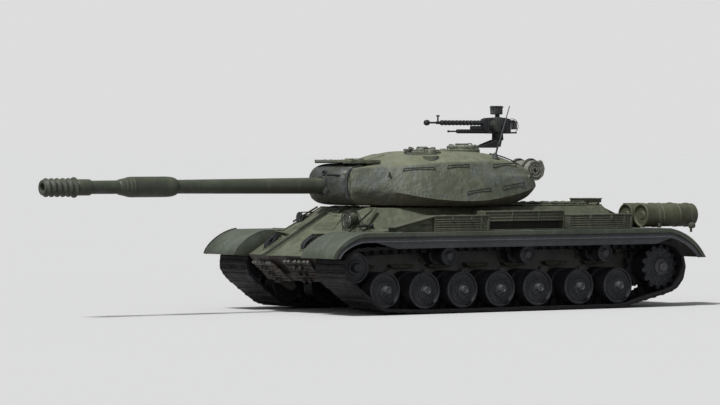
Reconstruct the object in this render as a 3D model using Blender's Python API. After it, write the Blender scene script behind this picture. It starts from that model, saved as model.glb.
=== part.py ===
"""A 1:16 radio-controlled model of a post-war heavy tank, built as an assembly.

+X is forward (the muzzle), +Y is the vehicle's left, +Z is up. The ground is z = 0, and the
origin lies midway along the model, on its centre plane. Lengths below are millimetres.
"""

import math

import bmesh
import bpy
from mathutils import Matrix, Vector

MM = 0.001
GAP = 0.3  # between touching pieces

# Running gear
WHEEL_X = (32.8, -9.3, -50.1, -91.3, -133.2, -179.8, -224.3)
WHEEL_Z = 20.4
WHEEL_R = 16.2
FIRST_WHEEL_Z, FIRST_WHEEL_R = 21.6, 15.6  # the front wheel stands a little higher
WHEEL_SIDES = 16
ROLLER_X = (-37.9, -124.3, -212.1)
ROLLER_Z = 50.0
ROLLER_R = 8.4
IDLER_X, IDLER_Z, IDLER_R = 63.6, 41.6, 13.6
SPROCKET_X, SPROCKET_Z, SPROCKET_R = -275.2, 36.2, 20.6
SPROCKET_TEETH = 14
AXLE_R = 2.3
BORE_R = AXLE_R + 0.35
TRACK_IN, TRACK_OUT = 53.6, 98.6  # its edges, across the vehicle
TRACK_THICK = 3.9

# Hull
TUB_Y = 52.0
FLOOR_Z = 27.5
NOSE_X, NOSE_Z = 92.5, 50.0
NOSE_SWEEP = 13.5  # how far the bow's lower corners lie behind its tip
GLACIS_RISE = 0.586
ROOF_Z = 91.6
ROOF_FRONT_Y = 40.0
ROOF_Y = 53.0
SPONSON_Y = 72.0
FENDER_TOP, FENDER_LIP = 71.4, 66.9
FENDER_IN, FENDER_OUT = TUB_Y + GAP, 101.9
BOX_IN, BOX_OUT = 80.0, 94.0
DRUM_R = 11.0
DRUM_Z = 83.0
DRUM_FRONT, DRUM_REAR = -258.7, -318.5
DRUM_Y = (82.4, 60.0)

# Turret and guns
YAW_X = -76.0
RING_R = 50.0
TURRET_Z = 92.2
TRUNNION_X, TRUNNION_Z = 11.3, 111.0
NOSE_DRUM_R, NOSE_DRUM_Y = 16.0, 28.0
MANTLET_HALF, MANTLET_FRONT = 28.0, 26.6
BORE_AXIS_R = 7.06  # the barrel where it slides in the mantlet
MUZZLE_X = 320.0
CUPOLA_X, CUPOLA_Y = -55.5, 25.0
CUPOLA_Z = 141.6
AA_X, AA_Y, AA_R = -135.0, -22.0, 14.8
AA_Z = 143.4
MG_PIVOT_X, MG_PIVOT_Z = -174.6, 160.0
MG_AXIS_Z = 167.1

FINISHES = {
    "armour_green": ((0.115, 0.125, 0.075), 0.72, 0.0),
    "fender_green": ((0.125, 0.135, 0.085), 0.68, 0.0),
    "track_steel": ((0.030, 0.029, 0.030), 0.62, 0.6),
    "wheel_dark": ((0.026, 0.028, 0.031), 0.66, 0.0),
    "gun_metal": ((0.022, 0.023, 0.025), 0.5, 0.7),
    "canvas": ((0.11, 0.11, 0.065), 0.95, 0.0),
    "lamp": ((0.05, 0.055, 0.045), 0.5, 0.0),
    "battery": ((0.02, 0.05, 0.16), 0.5, 0.0),
    "circuit": ((0.01, 0.12, 0.05), 0.6, 0.0),
    "moulded_black": ((0.02, 0.02, 0.02), 0.6, 0.0),
}


# ---------------------------------------------------------------- tools


def clear_scene():
    for obj in list(bpy.data.objects):
        bpy.data.objects.remove(obj, do_unlink=True)


def finish(name):
    found = bpy.data.materials.get(name)
    if found:
        return found
    colour, roughness, metallic = FINISHES[name]
    made = bpy.data.materials.new(name)
    made.use_nodes = True
    shader = made.node_tree.nodes["Principled BSDF"]
    shader.inputs["Base Color"].default_value = (*colour, 1.0)
    shader.inputs["Roughness"].default_value = roughness
    shader.inputs["Metallic"].default_value = metallic
    return made


def box(x, y, z):
    """A block between the given pairs of limits."""
    bm = bmesh.new()
    bmesh.ops.create_cube(bm, size=1.0)
    size = Vector((x[1] - x[0], y[1] - y[0], z[1] - z[0]))
    middle = Vector((x[1] + x[0], y[1] + y[0], z[1] + z[0])) / 2
    bmesh.ops.scale(bm, vec=size, verts=bm.verts)
    bmesh.ops.translate(bm, vec=middle, verts=bm.verts)
    return bm


AXES = {
    "X": Matrix.Rotation(math.pi / 2, 3, "Y"),
    "Y": Matrix.Rotation(-math.pi / 2, 3, "X"),
    "Z": Matrix.Identity(3),
}


def cylinder(centre, axis, radius, low, high, sides=16, end_radius=None):
    """A round bar or cone along an axis, from low to high measured from its centre."""
    bm = bmesh.new()
    bmesh.ops.create_cone(
        bm,
        cap_ends=True,
        segments=sides,
        radius1=radius,
        radius2=radius if end_radius is None else end_radius,
        depth=high - low,
    )
    bmesh.ops.translate(bm, vec=(0, 0, (high + low) / 2), verts=bm.verts)
    bmesh.ops.rotate(bm, matrix=AXES[axis], verts=bm.verts)
    bmesh.ops.translate(bm, vec=centre, verts=bm.verts)
    return bm


def prism(outline, axis, low, high):
    """An outline, given in the other two coordinates, extruded along an axis."""
    order = {
        "X": lambda a, b, s: (s, a, b),
        "Y": lambda a, b, s: (a, s, b),
        "Z": lambda a, b, s: (a, b, s),
    }
    bm = bmesh.new()
    verts = [bm.verts.new(order[axis](a, b, low)) for a, b in outline]
    face = bm.faces.new(verts)
    grown = bmesh.ops.extrude_face_region(bm, geom=[face])
    moved = [v for v in grown["geom"] if isinstance(v, bmesh.types.BMVert)]
    bmesh.ops.translate(bm, vec=order[axis](0, 0, high - low), verts=moved)
    return bm


def turned(profile, axis, centre, sides):
    """A profile of (place along the axis, radius), spun about it.

    It starts and ends on the axis, or it is a closed loop beside it.
    """
    bm = bmesh.new()
    verts = [bm.verts.new((radius, 0, along)) for along, radius in profile]
    edges = [bm.edges.new(pair) for pair in zip(verts, verts[1:])]
    if profile[0][1] > 0:
        edges.append(bm.edges.new((verts[-1], verts[0])))
    bmesh.ops.spin(
        bm, geom=verts + edges, cent=(0, 0, 0), axis=(0, 0, 1), angle=2 * math.pi, steps=sides
    )
    bmesh.ops.remove_doubles(bm, verts=bm.verts, dist=0.001)
    bmesh.ops.rotate(bm, matrix=AXES[axis], verts=bm.verts)
    bmesh.ops.translate(bm, vec=centre, verts=bm.verts)
    return bm


def lofted(loops):
    """A skin over loops of equal length, closed by a cap at each end."""
    bm = bmesh.new()
    rows = [[bm.verts.new(point) for point in loop] for loop in loops]
    for row, after in zip(rows, rows[1:]):
        for i in range(len(row)):
            j = (i + 1) % len(row)
            bm.faces.new((row[i], row[j], after[j], after[i]))
    bm.faces.new(rows[0])
    bm.faces.new(rows[-1])
    return bm


def wrapped(points):
    """The convex solid round some points."""
    bm = bmesh.new()
    verts = [bm.verts.new(point) for point in points]
    made = bmesh.ops.convex_hull(bm, input=verts)
    spare = made["geom_interior"] + made["geom_unused"]
    loose = {v for v in spare if isinstance(v, bmesh.types.BMVert)}
    bmesh.ops.delete(bm, geom=list(loose), context="VERTS")
    return bm


def both_sides(points):
    return [(x, side * y, z) for x, y, z in points for side in (1, -1)]


def mirrored(bm):
    bmesh.ops.scale(bm, vec=(1, -1, 1), verts=bm.verts)
    return bm


def made_object(name, bm, finish_name, origin=(0, 0, 0)):
    """A mesh object in metres, with its origin at the given place in millimetres."""
    bmesh.ops.recalc_face_normals(bm, faces=bm.faces)
    bmesh.ops.translate(bm, vec=-Vector(origin), verts=bm.verts)
    bmesh.ops.scale(bm, vec=(MM, MM, MM), verts=bm.verts)
    mesh = bpy.data.meshes.new(name)
    bm.to_mesh(mesh)
    bm.free()
    mesh.shade_smooth()
    mesh.set_sharp_from_angle(angle=math.radians(35))
    mesh.materials.append(finish(finish_name))
    obj = bpy.data.objects.new(name, mesh)
    obj.location = Vector(origin) * MM
    bpy.context.scene.collection.objects.link(obj)
    return obj


def combine(obj, operation, shapes):
    """Boolean joins or cuts, each with its own hidden helper."""
    for shape in shapes:
        number = len(obj.modifiers)
        helper = made_object(f"{obj.name}.helper{number}", shape, obj.active_material.name)
        helper.hide_render = True
        helper.display_type = "WIRE"
        modifier = obj.modifiers.new(f"{operation.lower()}{number}", "BOOLEAN")
        modifier.operation = operation
        modifier.solver = "EXACT"
        modifier.object = helper


def part(name, shapes, finish_name, origin=(0, 0, 0), cuts=(), side=1):
    """One node: the first shape, the others joined to it, and the cuts taken out."""
    if side < 0:
        shapes = [mirrored(shape) for shape in shapes]
        cuts = [mirrored(cut) for cut in cuts]
        origin = (origin[0], -origin[1], origin[2])
    obj = made_object(name, shapes[0], finish_name, origin)
    combine(obj, "UNION", shapes[1:])
    combine(obj, "DIFFERENCE", cuts)
    return obj


SIDES = (("left", 1), ("right", -1))


# ---------------------------------------------------------------- running gear


def double_wheel(radius, waist, hub, inner, outer, bore_end, cap):
    """A wheel's profile: two rims with a waist between them, a dished face, a hub cap, a blind bore."""
    width = (outer - inner) * 0.39
    return [
        (bore_end, 0),
        (bore_end, BORE_R),
        (inner, BORE_R),
        (inner, radius),
        (inner + width, radius),
        (inner + width, waist),
        (outer - width, waist),
        (outer - width, radius),
        (outer, radius),
        (outer - 2.5, hub + 2),
        (cap, hub),
        (cap, 0),
    ]


def road_wheel_rounds():
    """Each road wheel's place along the hull, height and radius."""
    first = (WHEEL_X[0], FIRST_WHEEL_Z, FIRST_WHEEL_R)
    return [first] + [(x, WHEEL_Z, WHEEL_R) for x in WHEEL_X[1:]]


def road_wheels():
    for name, side in SIDES:
        for number, (x, z, radius) in enumerate(road_wheel_rounds(), 1):
            profile = double_wheel(radius, 10.0, 4.0, 58.5, 93.0, 70.0, 97.5)
            shape = turned(profile, "Y", (x, 0, z), WHEEL_SIDES)
            part(f"road_wheel_{name}_{number}", [shape], "wheel_dark", (x, 76, z), side=side)


def return_rollers():
    profile = [(72, 0), (72, BORE_R), (62, BORE_R), (62, ROLLER_R)]
    profile += [(90, ROLLER_R), (88.5, 4), (91, 3), (91, 0)]
    for name, side in SIDES:
        for number, x in enumerate(ROLLER_X, 1):
            shape = turned(profile, "Y", (x, 0, ROLLER_Z), 14)
            part(f"return_roller_{name}_{number}", [shape], "wheel_dark", (x, 76, ROLLER_Z), side=side)


def idlers():
    profile = double_wheel(IDLER_R, 9.0, 3.6, 60.0, 92.0, 71.0, 95.5)
    for name, side in SIDES:
        shape = turned(profile, "Y", (IDLER_X, 0, IDLER_Z), WHEEL_SIDES)
        part(f"idler_{name}", [shape], "wheel_dark", (IDLER_X, 76, IDLER_Z), side=side)


def tooth_outline():
    """A sprocket ring's outline: square-shouldered teeth between round valleys."""
    points = []
    for tooth in range(SPROCKET_TEETH):
        for share, radius in ((0.0, 17.6), (0.34, 17.6), (0.5, SPROCKET_R), (0.84, SPROCKET_R)):
            angle = 2 * math.pi * (tooth + share) / SPROCKET_TEETH
            points.append((SPROCKET_X + radius * math.cos(angle), SPROCKET_Z + radius * math.sin(angle)))
    return points


def sprockets():
    profile = [(40, 0), (40, 4), (58, 4), (58, 9), (62, 15.5)]
    profile += [(90, 15.5), (91, 8), (95, 6), (96.5, 3.5), (96.5, 0)]
    for name, side in SIDES:
        shapes = [turned(profile, "Y", (SPROCKET_X, 0, SPROCKET_Z), WHEEL_SIDES)]
        shapes += [prism(tooth_outline(), "Y", low, low + 4) for low in (62, 86)]
        part(f"drive_sprocket_{name}", shapes, "wheel_dark", (SPROCKET_X, 76, SPROCKET_Z), side=side)


def around(points):
    """The points of a plane outline's convex hull, in order."""
    points = sorted(set(points))

    def half(run):
        chain = []
        for p in run:
            while len(chain) > 1 and cross(chain[-2], chain[-1], p) <= 0:
                chain.pop()
            chain.append(p)
        return chain[:-1]

    def cross(o, a, b):
        return (a[0] - o[0]) * (b[1] - o[1]) - (a[1] - o[1]) * (b[0] - o[0])

    return half(points) + half(reversed(points))


def belt_outline(clearance):
    """The taut outline round every wheel of one side, a given distance outside their rims."""
    rounds = road_wheel_rounds()
    rounds += [(x, ROLLER_Z, ROLLER_R) for x in ROLLER_X]
    rounds += [(IDLER_X, IDLER_Z, IDLER_R), (SPROCKET_X, SPROCKET_Z, SPROCKET_R)]
    points = []
    for x, z, radius in rounds:
        for step in range(32):
            angle = 2 * math.pi * (step + 0.5) / 32
            reach = (radius + clearance) / math.cos(math.pi / 32)
            points.append((x + reach * math.cos(angle), z + reach * math.sin(angle)))
    return around(points)


def tracks():
    for name, side in SIDES:
        outer = prism(belt_outline(GAP + TRACK_THICK), "Y", TRACK_IN, TRACK_OUT)
        inner = prism(belt_outline(GAP), "Y", TRACK_IN - 5, TRACK_OUT + 5)
        part(f"track_{name}", [outer], "track_steel", cuts=[inner], side=side)


# ---------------------------------------------------------------- hull


def nose_x(y):
    return NOSE_X - NOSE_SWEEP * abs(y) / TUB_Y


def tub_section(y, inset):
    """The lower tub's side view at one place across it, drawn in by a wall thickness."""
    wall = 0 if inset == 0 else 2.2
    top = 65.7 + 8 * (inset > 0)
    nose = nose_x(y) - 0.3 - wall * 2
    return [
        (58.5 - wall, y, FLOOR_Z + wall * 0.8),
        (nose, y, NOSE_Z - 0.4 if inset == 0 else NOSE_Z - 2.6),
        (49.6 - wall, y, NOSE_Z - 0.4 if inset == 0 else NOSE_Z - 2.6),
        (49.6 - wall, y, top),
        (-298.7 + wall, y, top),
        (-299.7 + wall, y, 58.0),
        (-286.0 + wall, y, FLOOR_Z + wall * 0.8),
    ]


def swing_arms():
    """Seven arms and stub axles a side, with the idler's and rollers' bosses, moulded on the tub's walls."""
    shapes = []
    for x, z, _ in road_wheel_rounds():
        arm = [(x - 4, 20), (x, 17.2), (x + 4, 19), (x + 16, 30), (x + 16, 37), (x + 10, 38), (x - 2, 25)]
        shapes.append(prism(arm, "Y", TUB_Y - 1.5, 57.6))
        shapes.append(cylinder((x, 0, z), "Y", AXLE_R, 57, 69.4, 8))
    for x in ROLLER_X:
        shapes.append(cylinder((x, 0, ROLLER_Z), "Y", AXLE_R, TUB_Y - 1.5, 71.4, 8))
    shapes.append(cylinder((IDLER_X, 0, IDLER_Z), "Y", 5.0, TUB_Y - 4, 58.5, 12))
    shapes.append(cylinder((IDLER_X, 0, IDLER_Z), "Y", AXLE_R, 57, 70.4, 8))
    return shapes


def lower_hull():
    body = lofted([tub_section(y, 0) for y in (-TUB_Y, 0, TUB_Y)])
    hollow_y = TUB_Y - 2.2
    hollow = lofted([tub_section(y, 1) for y in (-hollow_y, 0, hollow_y)])
    shafts = cylinder((SPROCKET_X, 0, SPROCKET_Z), "Y", 4.6, -60, 60, 16)
    door_way = box((-150, -82), (-21, 21), (20, 35))
    switch_way = box((-206, -194), (33.5, 40.5), (20, 35))
    shapes = [body]
    for side in (1, -1):
        low, high = sorted((side * 25.4, side * 27.4))
        shapes.append(box((-224, -76), (low, high), (23.9, FLOOR_Z + 1)))
        low, high = sorted((side * 23.2, side * 26.5))
        shapes.append(box((-223, -77), (low, high), (23.8, 25.2)))
        shapes += [shape if side > 0 else mirrored(shape) for shape in swing_arms()]
    part("lower_hull", shapes, "armour_green", cuts=[hollow, shafts, door_way, switch_way])


def glacis_z(x, y):
    """The height of a bow plate: a ridge along the middle, falling away to each side."""
    return NOSE_Z + GLACIS_RISE * (NOSE_X - x) - 0.165 * abs(y)


def upper_hull():
    roof_front = NOSE_X - (ROOF_Z - NOSE_Z) / GLACIS_RISE
    shoulder = (roof_front - 14.0, ROOF_FRONT_Y, ROOF_Z)
    elbow = (44.5, TUB_Y - 1, 69.4)
    bow = [(NOSE_X, 0, NOSE_Z), (roof_front, 0, ROOF_Z)]
    bow += both_sides([(nose_x(TUB_Y), TUB_Y, NOSE_Z), elbow, shoulder])
    middle = both_sides(
        [(-238, 50, ROOF_Z), (-256, 46, 84), (-296, 44, 68), (-299, TUB_Y, 66), (-299, TUB_Y, NOSE_Z)]
    )
    hull = wrapped(bow + middle)
    sponsons = wrapped(
        both_sides(
            [
                (39, TUB_Y - 0.5, FENDER_TOP + GAP),
                (shoulder[0] - 0.5, ROOF_FRONT_Y, ROOF_Z),
                (-25, SPONSON_Y, FENDER_TOP + GAP),
                (-40, ROOF_Y, ROOF_Z),
                (-238, ROOF_Y, ROOF_Z),
                (-248, SPONSON_Y, FENDER_TOP + GAP),
                (-256, 64, FENDER_TOP + GAP),
            ]
        )
    )
    below = box((-320, 50), (-70, 70), (30, 66))
    room = wrapped(
        both_sides([(4, 36, 89.8), (-40, 47, 89.8), (-232, 47, 89.8), (-252, 43, 82), (-292, 41, 66)])
        + both_sides([(-292, 49.5, 60), (47, 49.5, 60), (38, 48, 68)])
    )
    ring_hole = cylinder((YAW_X, 0, 0), "Z", RING_R, 80, 100, 32)
    vent = box((-232, -164), (-38, 38), (85, 100))
    ledges = [box((-305, -256.5), y, (69, 95)) for y in ((47.6, 80), (-80, -47.6))]
    part("upper_hull", [hull, sponsons], "armour_green", cuts=[below, room, ring_hole, vent] + ledges)


def engine_deck():
    plate = prism([(-236, -46), (-153, -46), (-153, 46), (-236, 46)], "Z", ROOF_Z + GAP, ROOF_Z + 1.4)
    slots = [box((x - 1.5, x + 1.5), (-32, 32), (ROOF_Z - 2, ROOF_Z + 4)) for x in range(-228, -160, 8)]
    part("engine_deck", [plate], "armour_green", cuts=slots)


def bezier(a, b, c, steps):
    return [
        tuple((1 - t) ** 2 * p + 2 * t * (1 - t) * q + t * t * r for p, q, r in zip(a, b, c))
        for t in (i / steps for i in range(steps + 1))
    ]


def fender_line(drop):
    """The fender's side view from its front tip to its rear tip, a given depth below its top."""
    front = [
        (
            60 + (34 - drop) * math.cos(angle) ** 1.3,
            49.6 + (FENDER_TOP - 49.6 - drop) * math.sin(angle) ** 1.3,
        )
        for angle in (math.pi / 2 * i / 8 for i in range(9))
    ]
    rear = bezier(
        (-278, FENDER_TOP - drop), (-306.5 + drop, 66.6 - drop), (-320.0 + drop, 44.4), 7
    )
    return front + rear


def fenders():
    top = fender_line(0)
    sheet = top + fender_line(1.2)[::-1]
    lip = top + fender_line(FENDER_TOP - FENDER_LIP)[::-1]
    front_web = top[:9] + [(40, FENDER_TOP), (40, 63), (60, 55), (80, 48.5)]
    rear_web = [(-262, FENDER_TOP)] + top[9:] + [(-300, 50), (-278, 60), (-262, 62)]
    for name, side in SIDES:
        shapes = [prism(sheet, "Y", FENDER_IN, FENDER_OUT), prism(lip, "Y", FENDER_OUT - 1.4, FENDER_OUT)]
        shapes += [prism(web, "Y", FENDER_IN, FENDER_IN + 1.0) for web in (front_web, rear_web)]
        part(f"fender_{name}", shapes, "fender_green", side=side)


def stowage_boxes():
    """A long and a short louvred box a side, with the air intake between them."""
    bottom = FENDER_TOP + GAP
    for name, side in SIDES:
        front = box((-79, -19), (BOX_IN, BOX_OUT), (bottom, 85.4))
        part(f"stowage_box_front_{name}", [front], "armour_green", side=side)
        rear = box((-240, -168.1), (BOX_IN, BOX_OUT), (bottom, 85.0))
        part(f"stowage_box_rear_{name}", [rear], "armour_green", side=side)
        section = [(79.2, bottom), (86.5, bottom), (86.5, 88.6), (70.5, 88.6)]
        mouth = box((-164, -84), (82, 90), (bottom + 0.6, 79.2))
        intake = prism(section, "X", -167.5, -79.6)
        part(f"air_intake_{name}", [intake], "armour_green", cuts=[mouth], side=side)


def fuel_drums():
    profile = [(DRUM_REAR, 0), (DRUM_REAR, 9.2), (DRUM_REAR + 1.6, DRUM_R)]
    profile += [(DRUM_FRONT - 1.4, DRUM_R), (DRUM_FRONT, 9.8), (DRUM_FRONT, 0)]
    for name, side in SIDES:
        for place, y in zip(("outer", "inner"), DRUM_Y):
            drum = turned(profile, "X", (0, y, DRUM_Z), 18)
            part(f"fuel_drum_{name}_{place}", [drum], "armour_green", side=side)


def spare_links():
    """Spare track links across the bow's lower plate."""
    loops = []
    for y in (-44, 0, 44):
        corner = Vector((nose_x(y) - 0.3, NOSE_Z - 0.4))
        along = (corner - Vector((58.5, FLOOR_Z))).normalized()
        out = Vector((along.y, -along.x))
        points = [corner - along * a + out * b for a, b in ((1.5, 1.3), (1.5, 4.8), (27, 4.8), (27, 1.3))]
        loops.append([(p.x, y, p.y) for p in points])
    part("spare_track_links", [lofted(loops)], "track_steel")


def lamps():
    """The headlight on the near bow plate and the horn on the far one."""
    x, y, z = 36.0, 46.0, 82.0
    shell = cylinder((x, y, z), "X", 3.4, -4.5, 4.5, 16, end_radius=5.0)
    stalk = cylinder((x + 1, y, 0), "Z", 1.3, glacis_z(x + 1, y) + 0.7, z, 10)
    part("headlight", [shell, stalk], "lamp")
    x, y, z = 31.0, -42.0, 84.0
    bell = cylinder((x, y, z), "X", 1.7, -4.5, 4.5, 14, end_radius=3.4)
    stalk = cylinder((x - 1, y, 0), "Z", 1.2, glacis_z(x - 1, y) + 0.9, z, 10)
    part("signal_horn", [bell, stalk], "lamp")


HATCH_PIVOT = (9.0, -17.0)


def driver_hatch():
    low = ROOF_Z + GAP
    outline = [(-1, -15), (5, -20), (11, -20), (13, -15), (18, 0), (14, 12), (9, 16), (-1, 15)]
    plate = prism(outline, "Z", low, low + 1.0)
    part("driver_hatch", [plate], "armour_green", (*HATCH_PIVOT, low))


# ---------------------------------------------------------------- inside the hull


def inner_works():
    floor = FLOOR_Z + 2.2 * 0.8 + GAP
    part("battery_pack", [box((-156, -76), (-24, 24), (floor + 1, floor + 22))], "battery")
    case = box((-281, -240), (-38, 38), (floor, 60))
    motors = [cylinder((-240, y, 44), "X", 11, -2, 34, 14) for y in (-20, 20)]
    part("drive_gearbox", [case] + motors, "moulded_black")
    board = box((-60, 14), (-34, 34), (54, 55.6))
    chips = [box((-50, -30), (-20, 4), (55, 59)), box((-20, -6), (4, 24), (55, 58))]
    posts = [cylinder((x, y, 0), "Z", 2, floor, 54.5, 8) for x in (-54, 8) for y in (-28, 28)]
    part("control_board", [board] + chips + posts, "circuit")


def belly_pieces():
    """The battery cover, which slides back along the belly, and the power switch."""
    low = FLOOR_Z - GAP - 1.6
    cover = box((-154, -78), (-25, 25), (low, low + 1.6))
    ribs = [box((x, x + 1.2), (-14, 14), (low - 0.8, low + 0.5)) for x in (-90, -86, -82)]
    part("battery_cover", [cover] + ribs, "moulded_black", (-116, 0, low))
    knob = box((-204.4, -200.4), (34.5, 39.5), (FLOOR_Z - 1.5, FLOOR_Z + 5))
    plate = box((-205.2, -199.6), (32.0, 42.0), (FLOOR_Z + 3, FLOOR_Z + 6))
    part("power_switch", [knob, plate], "moulded_black", (-202.4, 37, FLOOR_Z))


# ---------------------------------------------------------------- turret


# Place along the vehicle, half width and height of the widest line, half width and height of the
# underside, height and half width of the roof.
TURRET_STATIONS = (
    (19.0, 31.0, 109.5, 27.0, 96.5, 125.5, 22.0),
    (14.0, 36.0, 109.3, 29.5, 95.4, 126.8, 23.5),
    (6.3, 41.5, 109.0, 33.0, 94.8, 127.8, 25.0),
    (-1.0, 46.5, 108.0, 38.5, 94.6, 128.8, 27.0),
    (-12.0, 54.0, 105.0, 46.0, 94.4, 129.8, 30.0),
    (-31.0, 66.0, 100.8, 57.0, TURRET_Z, 134.6, 34.0),
    (-53.0, 74.0, 98.0, 64.5, TURRET_Z, 139.5, 39.0),
    (-78.0, 77.0, 97.6, 67.5, TURRET_Z, 141.2, 41.0),
    (-103.0, 74.5, 99.6, 64.5, TURRET_Z, 141.1, 39.0),
    (-128.0, 67.0, 103.2, 55.0, TURRET_Z, 139.7, 34.0),
    (-146.0, 60.0, 106.2, 42.0, 94.6, 135.4, 30.0),
    (-161.0, 51.0, 108.6, 34.0, 97.8, 130.0, 27.0),
    (-170.0, 42.0, 110.0, 28.0, 101.4, 123.4, 23.0),
    (-177.5, 31.0, 110.6, 21.0, 105.2, 115.6, 17.0),
    (-181.5, 20.0, 110.4, 14.0, 108.0, 112.0, 12.0),
)


def turret_loop(x, half, crease, base_half, base, roof, roof_half):
    side = [(base_half, base), ((base_half + 2 * half) / 3, (2 * base + crease) / 3), (half, crease)]
    for degrees in (25, 50, 70):
        angle = math.radians(degrees)
        y = roof_half + (half - roof_half) * math.cos(angle) ** 0.9
        z = crease + (roof - crease) * math.sin(angle) ** 0.9
        side.append((y, z))
    side.append((roof_half, roof))
    loop = [(x, y, z) for y, z in side]
    return loop + [(x, -y, z) for y, z in reversed(side)]


def mantlet_recess():
    """The space the mantlet sweeps between the turret's cheeks."""
    outline = [(TRUNNION_X, TRUNNION_Z)]
    for step in range(15):
        angle = math.radians(-80 + 188 * step / 14)
        outline.append((TRUNNION_X + 21.2 * math.cos(angle), TRUNNION_Z + 21.2 * math.sin(angle)))
    return prism(outline, "Y", -MANTLET_HALF - 0.4, MANTLET_HALF + 0.4)


def turret_shell():
    skin = lofted([turret_loop(*station) for station in TURRET_STATIONS])
    room = lofted(
        [
            turret_loop(x, half - 5, crease, base_half - 5, base, roof - 3, roof_half - 2)
            for x, half, crease, base_half, base, roof, roof_half in TURRET_STATIONS[5:-3]
        ]
    )
    well = cylinder((YAW_X, 0, 0), "Z", RING_R - 5, 80, 110, 32)
    spigot = cylinder((YAW_X, 0, 0), "Z", RING_R - 1, 88.5, TURRET_Z + 1, 32)
    cupola = cylinder((CUPOLA_X, CUPOLA_Y, 0), "Z", 16.5, 134, CUPOLA_Z - GAP, 20)
    aa_base = cylinder((AA_X, AA_Y, 0), "Z", AA_R + 0.8, 130, AA_Z - GAP, 20)
    shell = part("turret_shell", [skin, cupola, aa_base, spigot], "armour_green", (YAW_X, 0, TURRET_Z))
    combine(shell, "DIFFERENCE", [mantlet_recess()])
    nose_half = NOSE_DRUM_Y + 1.5
    nose = cylinder((TRUNNION_X, 0, TRUNNION_Z), "Y", NOSE_DRUM_R, -nose_half, nose_half, 24)
    brow = prism([(31, -14), (31, 14), (24, 27), (-2, 28), (-2, -28), (24, -27)], "Z", 132.7, 133.8)
    brow_foot = box((-9, 1.5), (-26, 26), (126, 133.4))
    combine(shell, "UNION", [nose, brow, brow_foot])
    slot = box((-36, 40), (-10.8, 10.8), (TRUNNION_Z - 13.4, TRUNNION_Z + 13.4))
    journals = cylinder((TRUNNION_X, 0, TRUNNION_Z), "Y", 3.4, -15, 15, 16)
    hatchways = [
        cylinder((CUPOLA_X, CUPOLA_Y, 0), "Z", 12.5, 120, 150, 20),
        cylinder((AA_X, AA_Y, 0), "Z", 11.0, 118, 150, 20),
    ]
    combine(shell, "DIFFERENCE", [room, well, slot, journals] + hatchways)


def mantlet_loop(y):
    """A section of the mantlet: a round back that wraps the turret's nose, and a bulging front."""
    across = abs(y) / MANTLET_HALF
    depth = 17.4 + (MANTLET_FRONT - 17.4) * math.sqrt(max(0.0, 1 - across**2.4))
    shrink = 1 - 0.08 * across**4
    loop = []
    for degrees in (90, 72, 56, 42, 28, 14, 0, -14, -28, -42, -56, -68):
        angle = math.radians(degrees)
        height = (19.8 if degrees > 0 else 17.5) * shrink
        share = abs(math.cos(angle) / depth) ** 2.6 + abs(math.sin(angle) / height) ** 2.6
        reach = max(share ** (-1 / 2.6), 17.3)
        loop.append((reach * math.cos(angle), reach * math.sin(angle)))
    for degrees in range(-68, 91, 14):
        angle = math.radians(min(degrees, 90))
        loop.append((16.5 * math.cos(angle), 16.5 * math.sin(angle)))
    loop.append((0.0, 16.5))
    return [(TRUNNION_X + x, y, TRUNNION_Z + z) for x, z in loop]


def mantlet():
    places = (-28, -26, -22, -16, -8, 8, 16, 22, 26, 28)
    shell = lofted([mantlet_loop(y) for y in places])
    cradle = cylinder((TRUNNION_X, 0, TRUNNION_Z), "X", 10.0, -6, 20, 20)
    trunnion = cylinder((TRUNNION_X, 0, TRUNNION_Z), "Y", 3.0, -14.6, 14.6, 16)
    bore = cylinder((0, 0, TRUNNION_Z), "X", BORE_AXIS_R + GAP, -20, 60, 24)
    part("mantlet", [shell, cradle, trunnion], "armour_green", (TRUNNION_X, 0, TRUNNION_Z), [bore])


def gun_barrel():
    profile = [(-12, 0), (-12, BORE_AXIS_R), (58, BORE_AXIS_R), (188.4, 5.94)]
    profile += [(197.5, 8.4), (235.6, 8.4), (245.5, 5.6), (286.9, 5.6), (288.5, 7.2), (295.4, 7.2)]
    ribs = 5
    pitch = (MUZZLE_X - 296.0) / ribs
    for rib in range(ribs):
        start = 296.0 + rib * pitch
        profile += [(start, 6.7), (start + 1.2, 7.97), (start + pitch - 1.2, 7.97)]
    profile += [(MUZZLE_X, 7.2), (MUZZLE_X, 3.8), (290, 3.8), (290, 0)]
    shape = turned(profile, "X", (0, 0, TRUNNION_Z), 16)
    part("gun_barrel", [shape], "armour_green", (TRUNNION_X, 0, TRUNNION_Z))


def commander_hatch():
    disc = cylinder((CUPOLA_X, CUPOLA_Y, 0), "Z", 15.0, CUPOLA_Z, CUPOLA_Z + 1.4, 20)
    lug = box((CUPOLA_X + 13, CUPOLA_X + 16.9), (CUPOLA_Y - 5, CUPOLA_Y + 5), (CUPOLA_Z, CUPOLA_Z + 1.4))
    sight = cylinder((CUPOLA_X - 4, CUPOLA_Y, 0), "Z", 4.0, CUPOLA_Z + 1, CUPOLA_Z + 3.6, 12)
    part("commander_hatch", [disc, lug, sight], "armour_green", (CUPOLA_X + 16.3, CUPOLA_Y, CUPOLA_Z + 0.75))


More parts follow.
